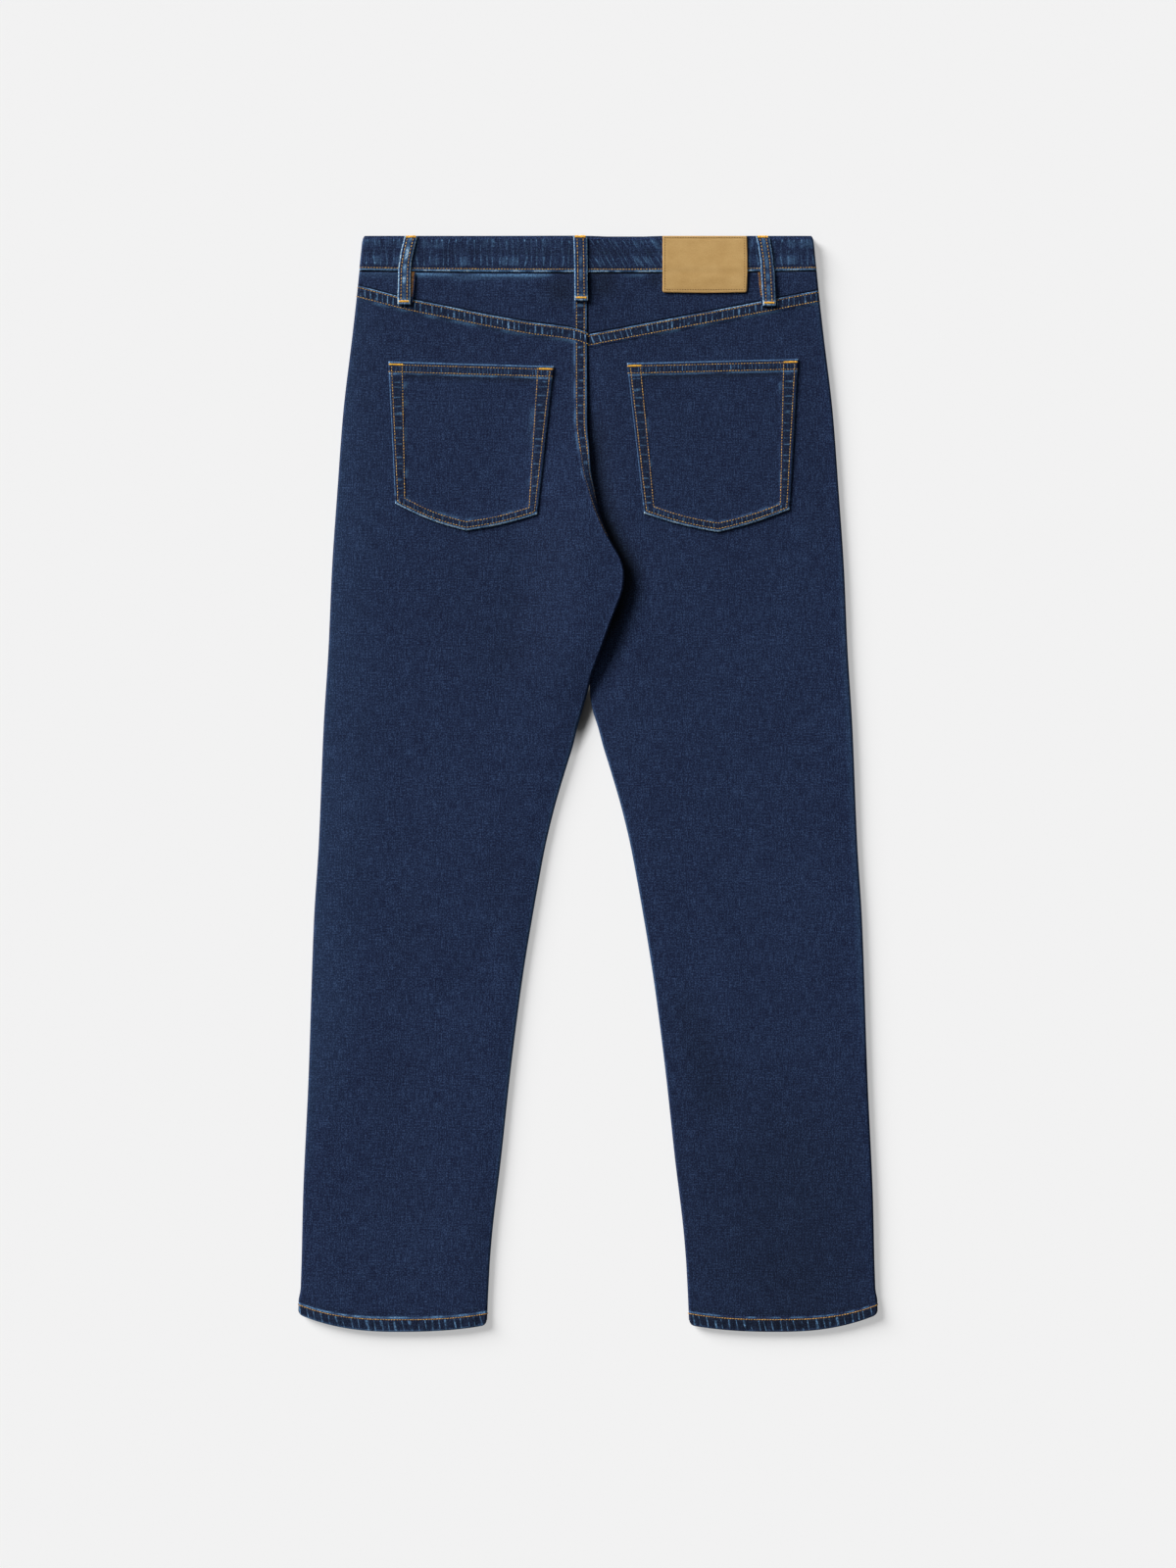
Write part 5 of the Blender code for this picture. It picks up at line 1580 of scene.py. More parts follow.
def make_denim():
    """Indigo denim, ring spun 3x1 twill, rinse washed: dull dark blue warp flecked by the pale
    weft, with soft upright slubs, and rubbed to light blue on folded edges. Painted light and
    painted shade make it lighter and darker in places."""
    material, tree = new_material("indigo_denim_twill")
    place = node(tree, "ShaderNodeUVMap", uv_map="weave")
    # Warp yarns are 0.45 mm apart; the flecks are drawn 1.3 mm wide so that they show
    flecks = grain(tree, place, 1.2, 1.6, 2.0, 0.55)
    slubs = grain(tree, place, 1.1, 14.0)
    picks = grain(tree, place, 16.0, 1.1)
    wash = grain(tree, place, 60.0, 90.0, 3.0, 0.55)
    mottle = grain(tree, place, 9.0, 13.0)
    shares = (flecks, 0.56), (slubs, 0.26), (picks, 0.18), (wash, 0.05), (mottle, 0.05)
    yarn = weighted(tree, *shares, start=-0.05)
    dark = shades(tree, yarn, 0.38, 0.5, colour(INDIGO_DARK), colour(INDIGO))
    indigo = shades(tree, yarn, 0.5, 0.62, dark, colour(INDIGO_LIGHT))

    # Puckers along a seam, one for each whole number of the rope's first value; their crests
    # are rubbed
    # Above 0: rubbing, partly painted light; below 0: painted shade, and darker cloth between rows of
    # sewing
    wear = node(tree, "ShaderNodeAttribute", attribute_name="wear").outputs["Fac"]
    rope = node(tree, "ShaderNodeAttribute", attribute_name="rope").outputs["Vector"]
    along_x, along_y, roped = node(tree, "ShaderNodeSeparateXYZ", {0: rope}).outputs
    along = node(tree, "ShaderNodeCombineXYZ", {0: along_x, 1: along_y})
    straight_on = node(tree, "ShaderNodeMapping", {"Vector": along, "Scale": (1.0, 0.15, 1.0)})
    inputs = {
        "Vector": straight_on, "Scale": WAVE_STEP, "Distortion": 4.5, "Detail": 1.0, "Detail Scale": 2.2,
    }
    waves = node(tree, "ShaderNodeTexWave", inputs).outputs["Fac"]
    tops = node(tree, "ShaderNodeMapRange", {0: waves, 1: 0.86, 2: 1.0})
    gaps = node(tree, "ShaderNodeMapRange", {0: grain(tree, along, 0.8, 0.9), 1: 0.36, 2: 0.62})
    crests = node(tree, "ShaderNodeMath", {0: tops, 1: gaps}, operation="MULTIPLY")
    rubbed_and_lit = node(tree, "ShaderNodeMath", {0: wear, 1: 0.0}, operation="MAXIMUM")
    rubbed_and_lit = node(tree, "ShaderNodeMath", {0: crests, 1: roped, 2: rubbed_and_lit}, operation="MULTIPLY_ADD")
    inputs = {0: grain(tree, place, 1.5, 1.9, 2.0, 0.6), 1: 0.36, 2: 0.6, 3: 0.25, 4: 1.1}
    broken = node(tree, "ShaderNodeMapRange", inputs)
    rubbed_and_lit = node(tree, "ShaderNodeMath", {0: rubbed_and_lit, 1: broken}, operation="MULTIPLY", use_clamp=True)
    # Below 0 the cloth darkens towards the deepest blue: mostly painted shade
    indigo = shades(tree, wear, 0.0, -1.0, indigo, colour(INDIGO_SHADE_DEEP))
    blue = shades(tree, rubbed_and_lit, 0.0, 0.6, indigo, colour(RUBBED_BLUE))

    # The twill line runs up to the right
    turned = node(tree, "ShaderNodeMapping", {"Vector": place, "Rotation": (0, 0, TWILL_SLANT)})
    inputs = {"Vector": turned, "Scale": WAVE_STEP / TWILL_STEP, "Distortion": 0.6}
    twill = node(tree, "ShaderNodeTexWave", inputs).outputs["Fac"]
    at_ropes = node(tree, "ShaderNodeMapRange", {0: roped, 2: 0.3})
    ridges = node(tree, "ShaderNodeMath", {0: crests, 1: at_ropes}, operation="MULTIPLY")
    height = weighted(tree, (twill, 0.35), (flecks, 0.9), (slubs, 0.5), (ridges, 1.2))
    shaded(tree, {
        "Base Color": shades(tree, rubbed_and_lit, 0.45, 1.0, blue, colour(RUBBED_PALE)),
        "Normal": node(tree, "ShaderNodeBump", {"Strength": 0.45, "Distance": 0.18 * MM, "Height": height}),
        "Roughness": node(tree, "ShaderNodeMapRange", {0: flecks, 1: 0.2, 2: 0.8, 3: 0.95, 4: 0.82}),
        "Specular IOR Level": 0.12,
        "Sheen Weight": 0.05,
        "Sheen Roughness": 0.6,
        "Sheen Tint": colour("#6f86ab"),
    })
    return material


def make_reverse():
    """The denim's reverse: pale undyed weft with fine indigo flecks, dull."""
    material, tree = new_material("denim_reverse_pale_weft")
    place = node(tree, "ShaderNodeUVMap", uv_map="weave")
    flecks = grain(tree, place, 1.0, 1.2, 3.0, 0.6)
    yarn = weighted(tree, (flecks, 0.7), (grain(tree, place, 14.0, 0.9), 0.3))
    shaded(tree, {
        "Base Color": shades(tree, yarn, 0.36, 0.6, colour("#4d6180"), colour("#a7b3bf")),
        "Normal": node(tree, "ShaderNodeBump", {"Strength": 0.4, "Distance": 0.2 * MM, "Height": yarn}),
        "Roughness": 0.92,
        "Specular IOR Level": 0.15,
    })
    return material


def make_thread(name, dark, light):
    """Core spun polyester sewing thread: a soft sheen along tight twists, each stitch its own shade."""
    material, tree = new_material(name)
    shade = node(tree, "ShaderNodeAttribute", attribute_name="shade").outputs["Fac"]
    place = node(tree, "ShaderNodeTexCoord").outputs["Object"]
    inputs = {"Vector": place, "Scale": PLY_TWISTS / MM, "Detail": 1.0}
    twist = node(tree, "ShaderNodeTexNoise", inputs)
    tone = weighted(tree, (shade, 0.75), (twist, 0.35))
    shaded(tree, {
        "Base Color": shades(tree, tone, 0.0, 1.0, colour(dark), colour(light)),
        "Normal": node(tree, "ShaderNodeBump", {"Strength": 0.5, "Distance": 0.1 * MM, "Height": twist}),
        "Roughness": 0.55,
        "Specular IOR Level": 0.4,
    })
    return material


def make_leather():
    """Veg tanned split leather, pressed smooth: matt tan with fine pores and faint blotches."""
    material, tree = new_material("tan_leather_pressed")
    place = node(tree, "ShaderNodeUVMap", uv_map="weave")
    blotches = grain(tree, place, 18.0, 14.0, 4.0, 0.6)
    fibres = grain(tree, place, 0.9, 1.6, 3.0, 0.6)
    pressed = grain(tree, place, 2.4, 0.8)
    tone = weighted(tree, (blotches, 0.5), (fibres, 0.35), (pressed, 0.15))
    tan = shades(tree, tone, 0.3, 0.7, colour("#b48e54"), colour("#cba76e"))
    # Darker in the groove of its sewing, and at its edges
    rope = node(tree, "ShaderNodeAttribute", attribute_name="rope").outputs["Vector"]
    groove = node(tree, "ShaderNodeSeparateXYZ", {0: rope}).outputs[2]
    edge = node(tree, "ShaderNodeAttribute", attribute_name="wear").outputs["Fac"]
    for value, share, dark in ((groove, 0.15, "#8f6b38"), (edge, 0.45, "#a97c3c")):
        tan = shades(tree, value, 0.0, 1 / share, tan, colour(dark))
    shaded(tree, {
        "Base Color": tan,
        "Normal": node(tree, "ShaderNodeBump", {"Strength": 0.5, "Distance": 0.12 * MM, "Height": tone}),
        "Roughness": node(tree, "ShaderNodeMapRange", {0: fibres, 1: 0.3, 2: 0.7, 3: 0.72, 4: 0.6}),
        "Specular IOR Level": 0.25,
    })
    return material


def make_copper():
    """Aged copper plate on a stamped brass cap: warm satin metal, darker in its hollows."""
    material, tree = new_material("aged_copper_plate")
    place = node(tree, "ShaderNodeTexCoord").outputs["Object"]
    inputs = {"Vector": place, "Scale": PLATE_MARKS / MM, "Detail": 3.0}
    marks = node(tree, "ShaderNodeTexNoise", inputs)
    shaded(tree, {
        "Base Color": shades(tree, marks, 0.35, 0.65, colour("#7d4a2c"), colour("#b9764a")),
        "Metallic": 1.0,
        "Roughness": node(tree, "ShaderNodeMapRange", {0: marks, 1: 0.3, 2: 0.7, 3: 0.28, 4: 0.45}),
    })
    return material


def make_floor_finish():
    """Matt pale seamless paper with a painted glow, as if lit a little from behind, so that shadows on it
    stay soft.
    """
    material, tree = new_material("pale_seamless_paper")
    # Painted shadow where the legs part: the paper is darker there, and loses its glow
    place = node(tree, "ShaderNodeTexCoord").outputs["Object"]
    inputs = {
        "Vector": place, "Location": metres((*NOTCH_PLACE, 0.0)).tolist(), "Rotation": (0, 0, NOTCH_TURN),
        "Scale": (NOTCH_WIDTH * MM, NOTCH_LENGTH * MM, 1.0),
    }
    notch = node(tree, "ShaderNodeMapping", inputs, vector_type="TEXTURE")
    closed = node(tree, "ShaderNodeTexGradient", {0: notch}, gradient_type="SPHERICAL").outputs["Fac"]
    shaded(tree, {
        "Base Color": shades(tree, closed, 0.2, 0.8, colour(FLOOR_SHADE), colour(NOTCH_PAINTED_SHADOW)),
        "Emission Color": colour("#ffffff"),
        "Emission Strength": node(tree, "ShaderNodeMapRange", {0: closed, 2: 0.6, 3: FLOOR_GLOW, 4: 0.0}),
        "Roughness": 1.0,
        "Specular IOR Level": 0.0,
    })
    return material


# ---------------------------------------------------------------- meshes


def metres(points):
    """Points (x, down, height) in millimetres as places in metres."""
    points = np.asarray(points, float)
    return layers(points[..., 0], LENGTH / 2 - points[..., 1], points[..., 2]) * MM


def link(name, mesh, *materials):
    """Add an object to the scene."""
    body = bpy.data.objects.new(name, mesh)
    bpy.context.scene.collection.objects.link(body)
    for material in materials:
        mesh.materials.append(material)
    return body


def smooth(mesh, sharp):
    """Shade a mesh smooth, but not over edges sharper than an angle in degrees."""
    mesh.shade_smooth()
    mesh.set_sharp_from_angle(angle=math.radians(sharp))


def quads(index):
    """Four-sided faces between a grid's points."""
    return layers(index[:-1, :-1], index[:-1, 1:], index[1:, 1:], index[1:, :-1]).reshape(-1, 4)


def wall(cut, face, reverse):
    """A closed wall of cloth between a cut's two grids of points."""
    rows, columns = cut.outer.shape[:2]
    count = rows * columns
    points = metres(np.concatenate([cut.outer.reshape(-1, 3), cut.inner.reshape(-1, 3)]))
    points[:, 2] = np.maximum(points[:, 2], 0.0)
    index = np.arange(count).reshape(rows, columns)
    upper = quads(index)
    rim = np.concatenate([index[0], index[1:, -1], index[-1, -2::-1], index[-2:0:-1, 0]])
    after = np.roll(rim, -1)
    sides = layers(after, rim, rim + count, after + count)
    faces = np.concatenate([upper, sides, upper[:, ::-1] + count])
    corner, across, _, along = (points[upper[:, k]] for k in range(4))
    out = corner - points[upper[:, 0] + count]
    if (np.cross(across - corner, along - corner) * out).sum() < 0:
        faces = faces[:, ::-1]
    mesh = bpy.data.meshes.new(cut.name + "_cloth")
    mesh.from_pydata(points.tolist(), [], faces.tolist())
    body = link("cloth_" + cut.name, mesh, face, reverse)
    on_reverse = np.arange(len(faces)) >= len(upper) + len(sides)
    mesh.polygons.foreach_set("material_index", on_reverse.astype(int))
    corners = np.zeros(len(mesh.loops), int)
    mesh.loops.foreach_get("vertex_index", corners)
    weave = cut.weave.reshape(-1, 2)[corners % count]
    mesh.uv_layers.new(name="weave").data.foreach_set("uv", weave.ravel())
    wear = np.concatenate([cut.wear.ravel(), np.zeros(count)])
    mesh.attributes.new("wear", "FLOAT", "POINT").data.foreach_set("value", wear)
    rope = np.concatenate([cut.rope.ravel()] * 2)
    mesh.attributes.new("rope", "FLOAT_VECTOR", "POINT").data.foreach_set("vector", rope)
    smooth(mesh, 60)
    mesh.update()
    return body


def surface(cut):
    """A cut's outer face, for finding where sewing lies on it."""
    rows, columns = cut.outer.shape[:2]
    faces = quads(np.arange(rows * columns).reshape(rows, columns))
    points = metres(cut.outer.reshape(-1, 3)) / MM
    return BVHTree.FromPolygons(points.tolist(), faces.tolist())


# ---------------------------------------------------------------- sewing


def stitch_tree():
    """Nodes that lay a short arched thread at every pitch along each row of sewing."""
    tree = bpy.data.node_groups.new("row_of_stitches", "GeometryNodeTree")
    face = tree.interface
    face.new_socket("Geometry", in_out="INPUT", socket_type="NodeSocketGeometry")
    for name in ("Pitch", "Stitch", "Thread", "Rise", "Turn", "Sway"):
        face.new_socket(name, in_out="INPUT", socket_type="NodeSocketFloat")
    face.new_socket("Material", in_out="INPUT", socket_type="NodeSocketMaterial")
    face.new_socket("Geometry", in_out="OUTPUT", socket_type="NodeSocketGeometry")
    given = node(tree, "NodeGroupInput").outputs

    rows = node(tree, "GeometryNodeMeshToCurve", {0: given["Geometry"]})
    inputs = {"Curve": rows, "Length": given["Pitch"]}
    spaced = node(tree, "GeometryNodeResampleCurve", inputs, mode="LENGTH")

    start, end, sink, top, radius, least = (
        node(tree, "ShaderNodeMath", {0: given[name], 1: share}, operation="MULTIPLY")
        for name, share in (
            ("Stitch", -0.5), ("Stitch", 0.5), ("Thread", -0.55), ("Rise", 2.0), ("Thread", 0.5),
            ("Sway", -1.0),
        )
    )
    arch = node(tree, "GeometryNodeCurveQuadraticBezier", {
        "Resolution": 4,
        "Start": node(tree, "ShaderNodeCombineXYZ", {0: start, 2: sink}),
        "Middle": node(tree, "ShaderNodeCombineXYZ", {2: top}),
        "End": node(tree, "ShaderNodeCombineXYZ", {0: end, 2: sink}),
    })
    ring = node(tree, "GeometryNodeCurvePrimitiveCircle", {"Resolution": 5, "Radius": radius})
    stitch = node(tree, "GeometryNodeCurveToMesh", {0: arch, 1: ring, "Fill Caps": True})
    stitch = node(tree, "GeometryNodeSetShadeSmooth", {0: stitch})

    tangent = node(tree, "GeometryNodeInputTangent")
    up = node(tree, "GeometryNodeInputNamedAttribute", {"Name": "up"}, data_type="FLOAT_VECTOR")
    aim = node(tree, "FunctionNodeAlignRotationToVector", {"Vector": tangent}, axis="X")
    inputs = {"Rotation": aim, "Vector": up}
    aim = node(tree, "FunctionNodeAlignRotationToVector", inputs, axis="Z", pivot_axis="X")
    sway, size, shade = (
        node(tree, "FunctionNodeRandomValue", {2: low, 3: high, "Seed": seed}, data_type="FLOAT").outputs[1]
        for low, high, seed in ((least, given["Sway"], 5), (0.9, 1.1, 9), (0.0, 1.0, 3))
    )
    turn = node(tree, "ShaderNodeMath", {0: given["Turn"], 1: sway}, operation="ADD")
    twist = node(tree, "FunctionNodeAxisAngleToRotation", {"Axis": (0, 0, 1), "Angle": turn})
    inputs = {"Rotation": aim, "Rotate By": twist}
    rotation = node(tree, "FunctionNodeRotateRotation", inputs, rotation_space="LOCAL")
    inputs = {"Points": spaced, "Instance": stitch, "Rotation": rotation, "Scale": size}
    laid = node(tree, "GeometryNodeInstanceOnPoints", inputs)
    inputs = {"Geometry": laid, "Name": "shade", "Value": shade}
    laid = node(tree, "GeometryNodeStoreNamedAttribute", inputs, data_type="FLOAT", domain="INSTANCE")
    joined = node(tree, "GeometryNodeRealizeInstances", {0: laid})
    inputs = {"Geometry": joined, "Material": given["Material"]}
    node(tree, "NodeGroupOutput", {0: node(tree, "GeometryNodeSetMaterial", inputs)})
    return tree


def sew(tree, seam, rows, material):
    """One mesh of stitches along rows, each a pair of points and directions away from the cloth."""
    name = "sewing_" + seam.name
    points = np.concatenate([metres(line) for line, up in rows])
    ups = np.concatenate([up for line, up in rows]) * (1, -1, 1)
    last_ones = np.cumsum([len(line) for line, up in rows]) - 1
    starts = np.setdiff1d(np.arange(len(points)), last_ones)
    mesh = bpy.data.meshes.new(name + "_rows")
    mesh.from_pydata(points.tolist(), layers(starts, starts + 1).tolist(), [])
    mesh.attributes.new("up", "FLOAT_VECTOR", "POINT").data.foreach_set("vector", ups.ravel())
    body = link(name, mesh)
    modifier = body.modifiers.new("stitches", "NODES")
    modifier.node_group = tree
    given = {
        "Pitch": seam.pitch * MM, "Stitch": seam.stitch * MM, "Thread": seam.width * MM,
        "Rise": seam.rise * MM, "Turn": seam.turn, "Sway": seam.sway, "Material": material,
    }
    for item in tree.interface.items_tree:
        if item.in_out == "INPUT" and item.name in given:
            modifier[item.identifier] = given[item.name]
    shapes = bpy.context.evaluated_depsgraph_get()
    plain = bpy.data.meshes.new_from_object(body.evaluated_get(shapes))
    body.modifiers.clear()
    body.data = plain
    plain.name = name
    # Threads between the cloth and the floor are pressed flat
    places = np.zeros(3 * len(plain.vertices))
    plain.vertices.foreach_get("co", places)
    places[2::3] = np.maximum(places[2::3], 0.0)
    plain.vertices.foreach_set("co", places)
    return body


def densify(path):
    """The same path with a point every SEWING_STEP."""
    path = np.asarray(path, float)
    travelled = along_path(path)
    count = max(int(travelled[-1] / SEWING_STEP), 1) + 1
    at = np.linspace(0, travelled[-1], count)
    return layers(*(np.interp(at, travelled, part) for part in path.T))


def drop(tree, path, upwards=False):
    """Lay a path of (x, down) on a surface from above, or from below."""
    places, ups = [], []
    aim = Vector((0, 0, 1 if upwards else -1))
    for x, down in densify(path):
        spot, normal, _, _ = tree.ray_cast(Vector((x, LENGTH / 2 - down, -DROP_HEIGHT * aim.z)), aim)
        if spot is None:
            continue
        if normal.dot(aim) > 0:
            normal = -normal
        places.append((spot.x, LENGTH / 2 - spot.y, spot.z))
        ups.append((normal.x, -normal.y, normal.z))
    return np.array(places), np.array(ups)


def along_row(cut, row):
    """A row of a cut's grid, with the directions away from the cloth."""
    up = cut.outer[row] - cut.inner[row]
    return cut.outer[row], up / np.linalg.norm(up, axis=1, keepdims=True)


def tail_row(cut, loop):
    """The looper threads on the reverse of a belt loop's tail, where it shows beside the loop."""
    column = int(np.argmin(np.abs(LOOP_SHARES - math.copysign(TAIL_ROW_SHARE, loop.tail_shift))))
    count = int(np.argmin(cut.outer[:, column, 1] < loop.fold_down - TAIL_ROW_END))
    line = cut.inner[:count, column]
    up = line - cut.outer[:count, column]
    return line, up / np.linalg.norm(up, axis=1, keepdims=True)


def pocket_rows(pocket):
    """The sewing of a back pocket: two rows round its sides and foot, two across its mouth."""
    outer_top, inner_top, inner_bottom, point, outer_bottom = np.array(pocket[2:7])
    across, down_outer, down_inner = (
        (end - start) / np.linalg.norm(end - start)
        for start, end in ((outer_top, inner_top), (outer_top, outer_bottom), (inner_top, inner_bottom))
    )
    share = np.linspace(0, 1, 12)[:, None]
    rows = []
    for extra in (0, 1):
        outer_in = POCKET_ROW + extra * np.array(pocket.rows_outer)
        inner_in = POCKET_ROW + extra * np.array(pocket.rows_inner)
        foot_in = POCKET_ROW + extra * POCKET_BOTTOM_ROWS
        outer_turn, point_turn, inner_turn = (foot_in * turn for turn in POCKET_TURNS)
        outer_corner = outer_bottom + across * outer_in[1] - down_outer * outer_turn
        inner_corner = inner_bottom - across * inner_in[1] - down_inner * inner_turn
        middle = point - np.array((0.0, point_turn))
        rows.append([
            outer_top + across * outer_in[0] + down_outer * MOUTH_ROWS[0],
            *bowed(outer_corner, middle, pocket.bows[0], share),
            *bowed(middle, inner_corner, pocket.bows[1], share)[1:],
            inner_top - across * inner_in[0] + down_inner * MOUTH_ROWS[0],
        ])
    for below in MOUTH_ROWS:
        rows.append([
            outer_top + down_outer * below + across * MOUTH_ROW_IN,
            inner_top + down_inner * below - across * MOUTH_ROW_IN,
        ])
    return rows


def pocket_tacks(pocket):
    """Bar tacks across both upper corners of a back pocket."""
    outer_top, inner_top = np.array(pocket.outer_top), np.array(pocket.inner_top)
    across = (inner_top - outer_top) / np.linalg.norm(inner_top - outer_top)
    below = np.array((0.0, MOUTH_ROWS[0] - POCKET_TACK_RISE))
    return [
        [corner + way * across * distance + below for distance in POCKET_TACK]
        for corner, way in ((outer_top, 1), (inner_top, -1))
    ]


def patch_row():
    """The row of sewing inside the patch's four edges."""
    left, right = PATCH_LEFT + PATCH_ROW, PATCH_RIGHT - PATCH_ROW + PATCH_BOWS[0] / 2
    top, bottom = PATCH_TOP + PATCH_TOP_ROW, PATCH_BOTTOM - PATCH_ROW
    return [(left, top), (left, bottom), (right, bottom), (right, top), (left, top)]


def fly_row(inset):
    """A row of the fly on the wearer's left front: straight down, then curved to the centre."""
    width = FLY_WIDTH - inset
    turn = np.linspace(0, math.pi / 2, 30)[1:]
    x = -FLY_EDGE - (width - FLY_EDGE) * np.cos(turn)
    down = FLY_TURN + (FLY_END - inset - FLY_TURN) * np.sin(turn)
    return np.concatenate([[(-width, BAND_DEPTH + 1.0), (-width, FLY_TURN)], layers(x, down)])


def scoop_row(side, inset):
    """A row of sewing beside a front pocket's scoop, from the waistband to the side seam."""
    turn = np.linspace(0.02, 0.5, 50) * math.pi
    x = SCOOP_START + SCOOP_WIDTH - (SCOOP_WIDTH + inset) * np.cos(turn)
    down = SCOOP_TOP + (SCOOP_DEPTH + inset) * np.sin(turn)
    return np.append(layers(x, down), [(SCOOP_ROW_END, SCOOP_TOP + SCOOP_DEPTH + inset)], 0) * (side, 1)


def garment_rows(cuts):
    """Every row of sewing, by the name of its seam."""
    surfaces = {name: surface(cut) for name, cut in cuts.items()}
    rows = {seam.name: [] for seam in SEAMS}
    hem_stitches = list(HEM_ROWS).index(HEM_STITCH) - len(HEM_ROWS)
    for side, word in SIDES:
        x = np.linspace(*YOKE_ROW_RUN, 120)
        for below in YOKE_ROWS[side]:
            line = layers(side * x, yoke_seam(side, x) + below)
            rows["yoke"].append(drop(surfaces["back_" + word], line))
        for name in ("back_", "front_"):
            line, up = along_row(cuts[name + word], hem_stitches)
            shown = np.abs(up[:, 0]) < HEM_ROW_TILT
            rows["hems"].append((line[shown], up[shown]))
        for inset in SCOOP_ROWS:
            rows["front"].append(drop(surfaces["front_" + word], scoop_row(side, inset), True))
    for inset in FLY_ROWS:
        rows["front"].append(drop(surfaces["front_left"], fly_row(inset), True))
    for seam, piece, start, end in CENTRE_STRETCHES:
        for row_in, last in zip(centre_rows, CENTRE_ROWS_END):
            downs = np.linspace(start, min(end, last), 120)
            line = layers(back_edges[LEFT](downs) - row_in(downs), downs)
            rows[seam].append(drop(surfaces[piece], line))
    for seam, row in (("waist", BAND_LOW_ROW), ("waist_top", BAND_TOP_ROW)):
        rows[seam].append(along_row(cuts["waistband"], list(BAND_ROWS).index(row)))
    for pocket in POCKETS:
        rows["pockets"] += [drop(surfaces[pocket.name], line) for line in pocket_rows(pocket)]
        rows["bar_tacks"] += [drop(surfaces[pocket.name], line) for line in pocket_tacks(pocket)]
    for loop in BACK_LOOPS + FRONT_LOOPS:
        upwards = loop in FRONT_LOOPS
        start, end = LOOP_ROW_ENDS
        downs = np.linspace(start, loop.fold_down - end, 60)
        for beside in (-LOOP_ROW, LOOP_ROW):
            line = layers(loop_centre(loop, downs) + beside, downs)
            rows["loops"].append(drop(surfaces[loop.name], line, upwards))
        half = loop.width / 2 - LOOP_TACK_IN
        for down in (LOOP_TACKS[0], loop.fold_down - LOOP_TACKS[1]):
            centre = loop_centre(loop, down)
            line = [(centre - half, down), (centre + half, down)]
            rows["bar_tacks"].append(drop(surfaces[loop.name], line, upwards))
        if loop.tail_shift:
            rows["loop_tails"].append(tail_row(cuts[loop.name], loop))
    rows["patch"].append(drop(surfaces["patch"], patch_row()))
    return {name: [row for row in lines if len(row[0]) > 2] for name, lines in rows.items()}


# ---------------------------------------------------------------- making it all


def make_button(copper):
    """Tack button: a domed cap with a raised rim and a ringed middle, and its shank."""
    shank_top = float(band_bottom(BUTTON_X, BUTTON_DOWN)) + BAND_CLOTH
    turns = np.arange(BUTTON_STEPS) * math.tau / BUTTON_STEPS
    points, rings = [], []
    for radius, height in (*BUTTON_OUTLINE, (SHANK_RADIUS, shank_top), (0.0, shank_top)):
        around = turns if radius else turns[:1]
        ring = np.arange(len(points), len(points) + len(around))
        rings.append(np.resize(ring, BUTTON_STEPS + 1).tolist())
        x, down = BUTTON_X + radius * np.cos(around), BUTTON_DOWN + radius * np.sin(around)
        points += layers(x, down, height).tolist()
    # At either end the ring is a single point, and its faces have three corners
    faces = [
        list(dict.fromkeys((near[k], far[k], far[k + 1], near[k + 1])))
        for near, far in zip(rings, rings[1:])
        for k in range(BUTTON_STEPS)
    ]
    mesh = bpy.data.meshes.new("button_cap")
    mesh.from_pydata(metres(points).tolist(), [], faces)
    smooth(mesh, 40)
    return link("button_cap", mesh, copper)


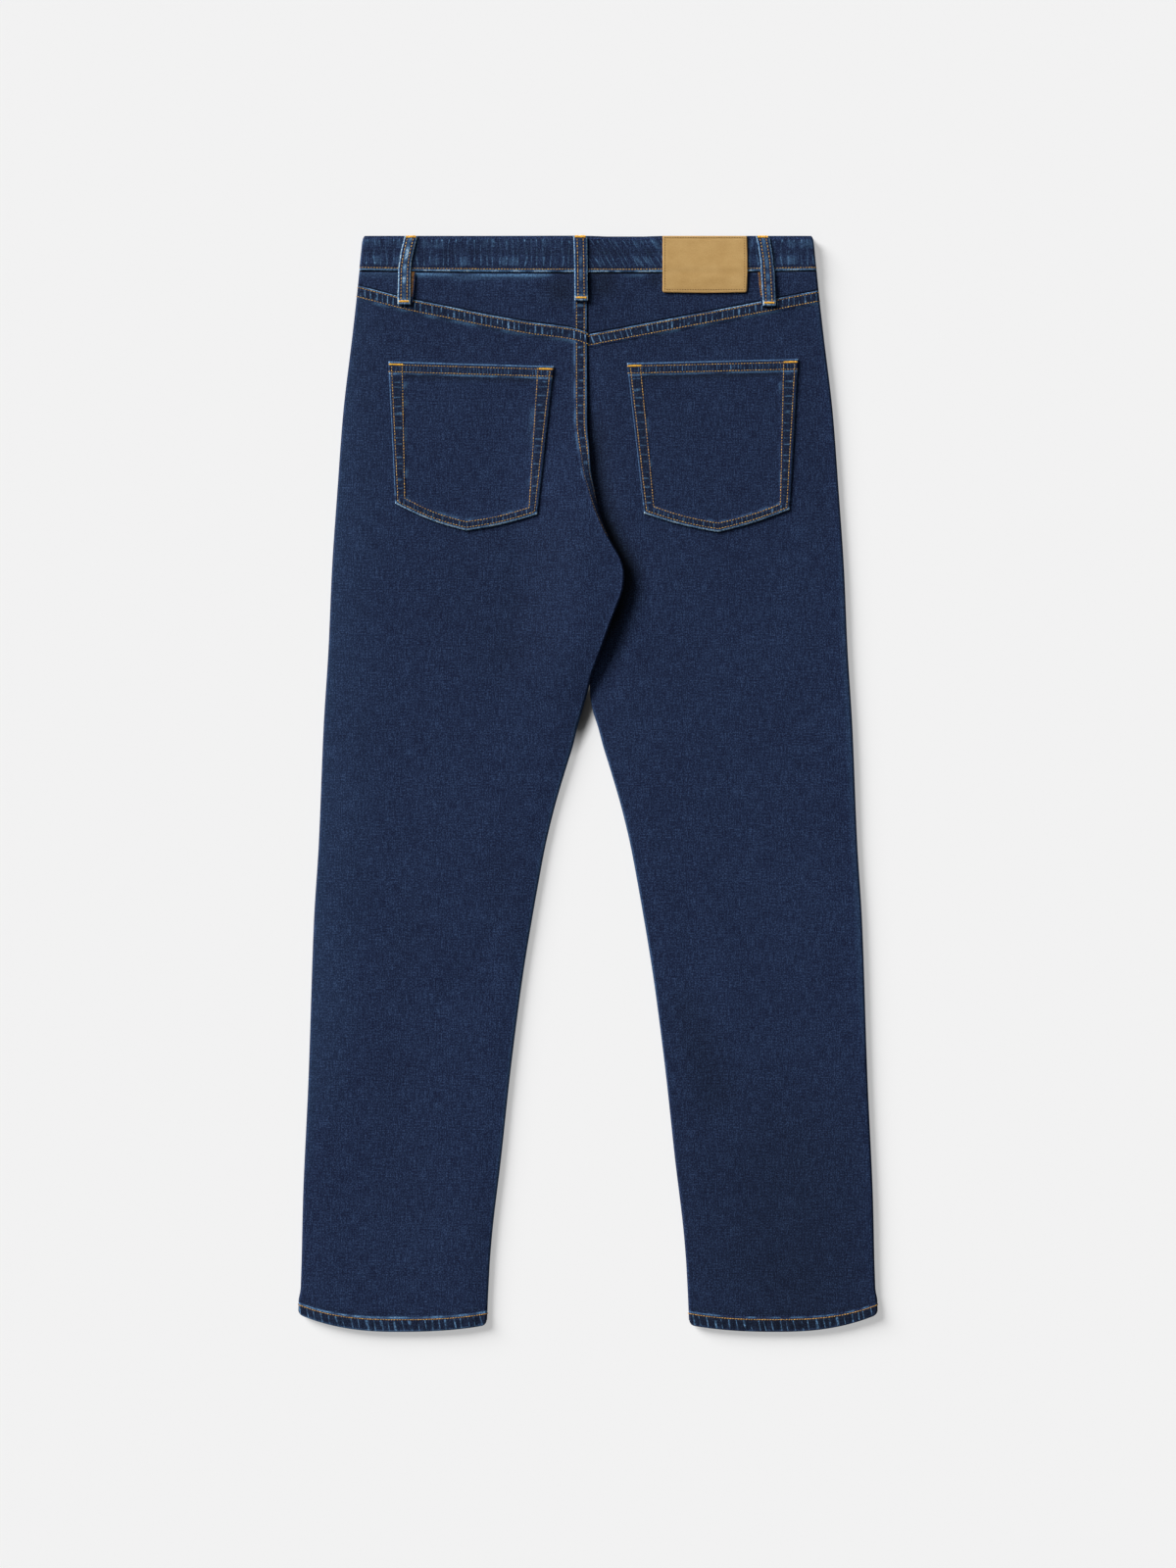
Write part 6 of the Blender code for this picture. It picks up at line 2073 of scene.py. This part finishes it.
def add_studio():
    """Pale floor, soft light from the upper left, and the camera straight above."""
    mesh = bpy.data.meshes.new("floor")
    corners = [(x * FLOOR_SIZE, y * FLOOR_SIZE, 0) for x, y in ((-1, -1), (1, -1), (1, 1), (-1, 1))]
    mesh.from_pydata(corners, [], [(0, 1, 2, 3)])
    link("floor", mesh, make_floor_finish())

    scene = bpy.context.scene
    for light in LIGHTS:
        sun = bpy.data.lights.new(light.name, "SUN")
        sun.energy = light.strength
        sun.angle = math.radians(light.size)
        lamp = bpy.data.objects.new(light.name, sun)
        scene.collection.objects.link(lamp)
        turn, rise = math.radians(light.turn), math.radians(light.elevation)
        out = math.cos(rise)
        towards = Vector((-math.sin(turn) * out, math.cos(turn) * out, math.sin(rise)))
        lamp.rotation_euler = towards.to_track_quat("Z", "Y").to_euler()

    world = bpy.data.worlds.new("studio")
    world.use_nodes = True
    background = world.node_tree.nodes["Background"]
    background.inputs["Color"].default_value = colour("#ffffff")
    background.inputs["Strength"].default_value = WORLD_STRENGTH
    scene.world = world

    lens = bpy.data.cameras.new("camera")
    lens.lens = CAMERA_LENS
    camera = bpy.data.objects.new("camera", lens)
    scene.collection.objects.link(camera)
    distance = VIEW_LENGTH * CAMERA_LENS / lens.sensor_width
    camera.location = (0.0, 0.0, (distance + VIEW_PLANE) * MM)
    scene.camera = camera
    scene.view_settings.view_transform = "Standard"


def make_cuts():
    """Every piece of cloth and leather, by name."""
    cuts = []
    for side, word in SIDES:
        cuts += [make(side, word) for make in (make_back, make_yoke, make_front, make_facing)]
    cuts.append(make_waistband())
    cuts += [make_pocket(pocket) for pocket in POCKETS]
    cuts += [make_back_loop(loop) for loop in BACK_LOOPS]
    cuts += [make_front_loop(loop) for loop in FRONT_LOOPS]
    cuts.append(make_patch())
    return {cut.name: cut for cut in cuts}


def main():
    denim, reverse = make_denim(), make_reverse()
    leather, copper = make_leather(), make_copper()
    cuts = make_cuts()
    for name, cut in cuts.items():
        face = leather if name == "patch" else denim
        back = face if name == "patch" or name.startswith(FOLDED_DOUBLE) else reverse
        piece = wall(cut, face, back)
        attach(piece, "root")
        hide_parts(name)

    button = make_button(copper)
    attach(button, "root")
    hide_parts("button")

    threads = {name: make_thread(*finish) for name, finish in THREADS.items()}
    tree = stitch_tree()
    rows = garment_rows(cuts)
    for seam in SEAMS:
        piece = sew(tree, seam, rows[seam.name], threads[seam.thread])
        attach(piece, "root")

    add_studio()


main()
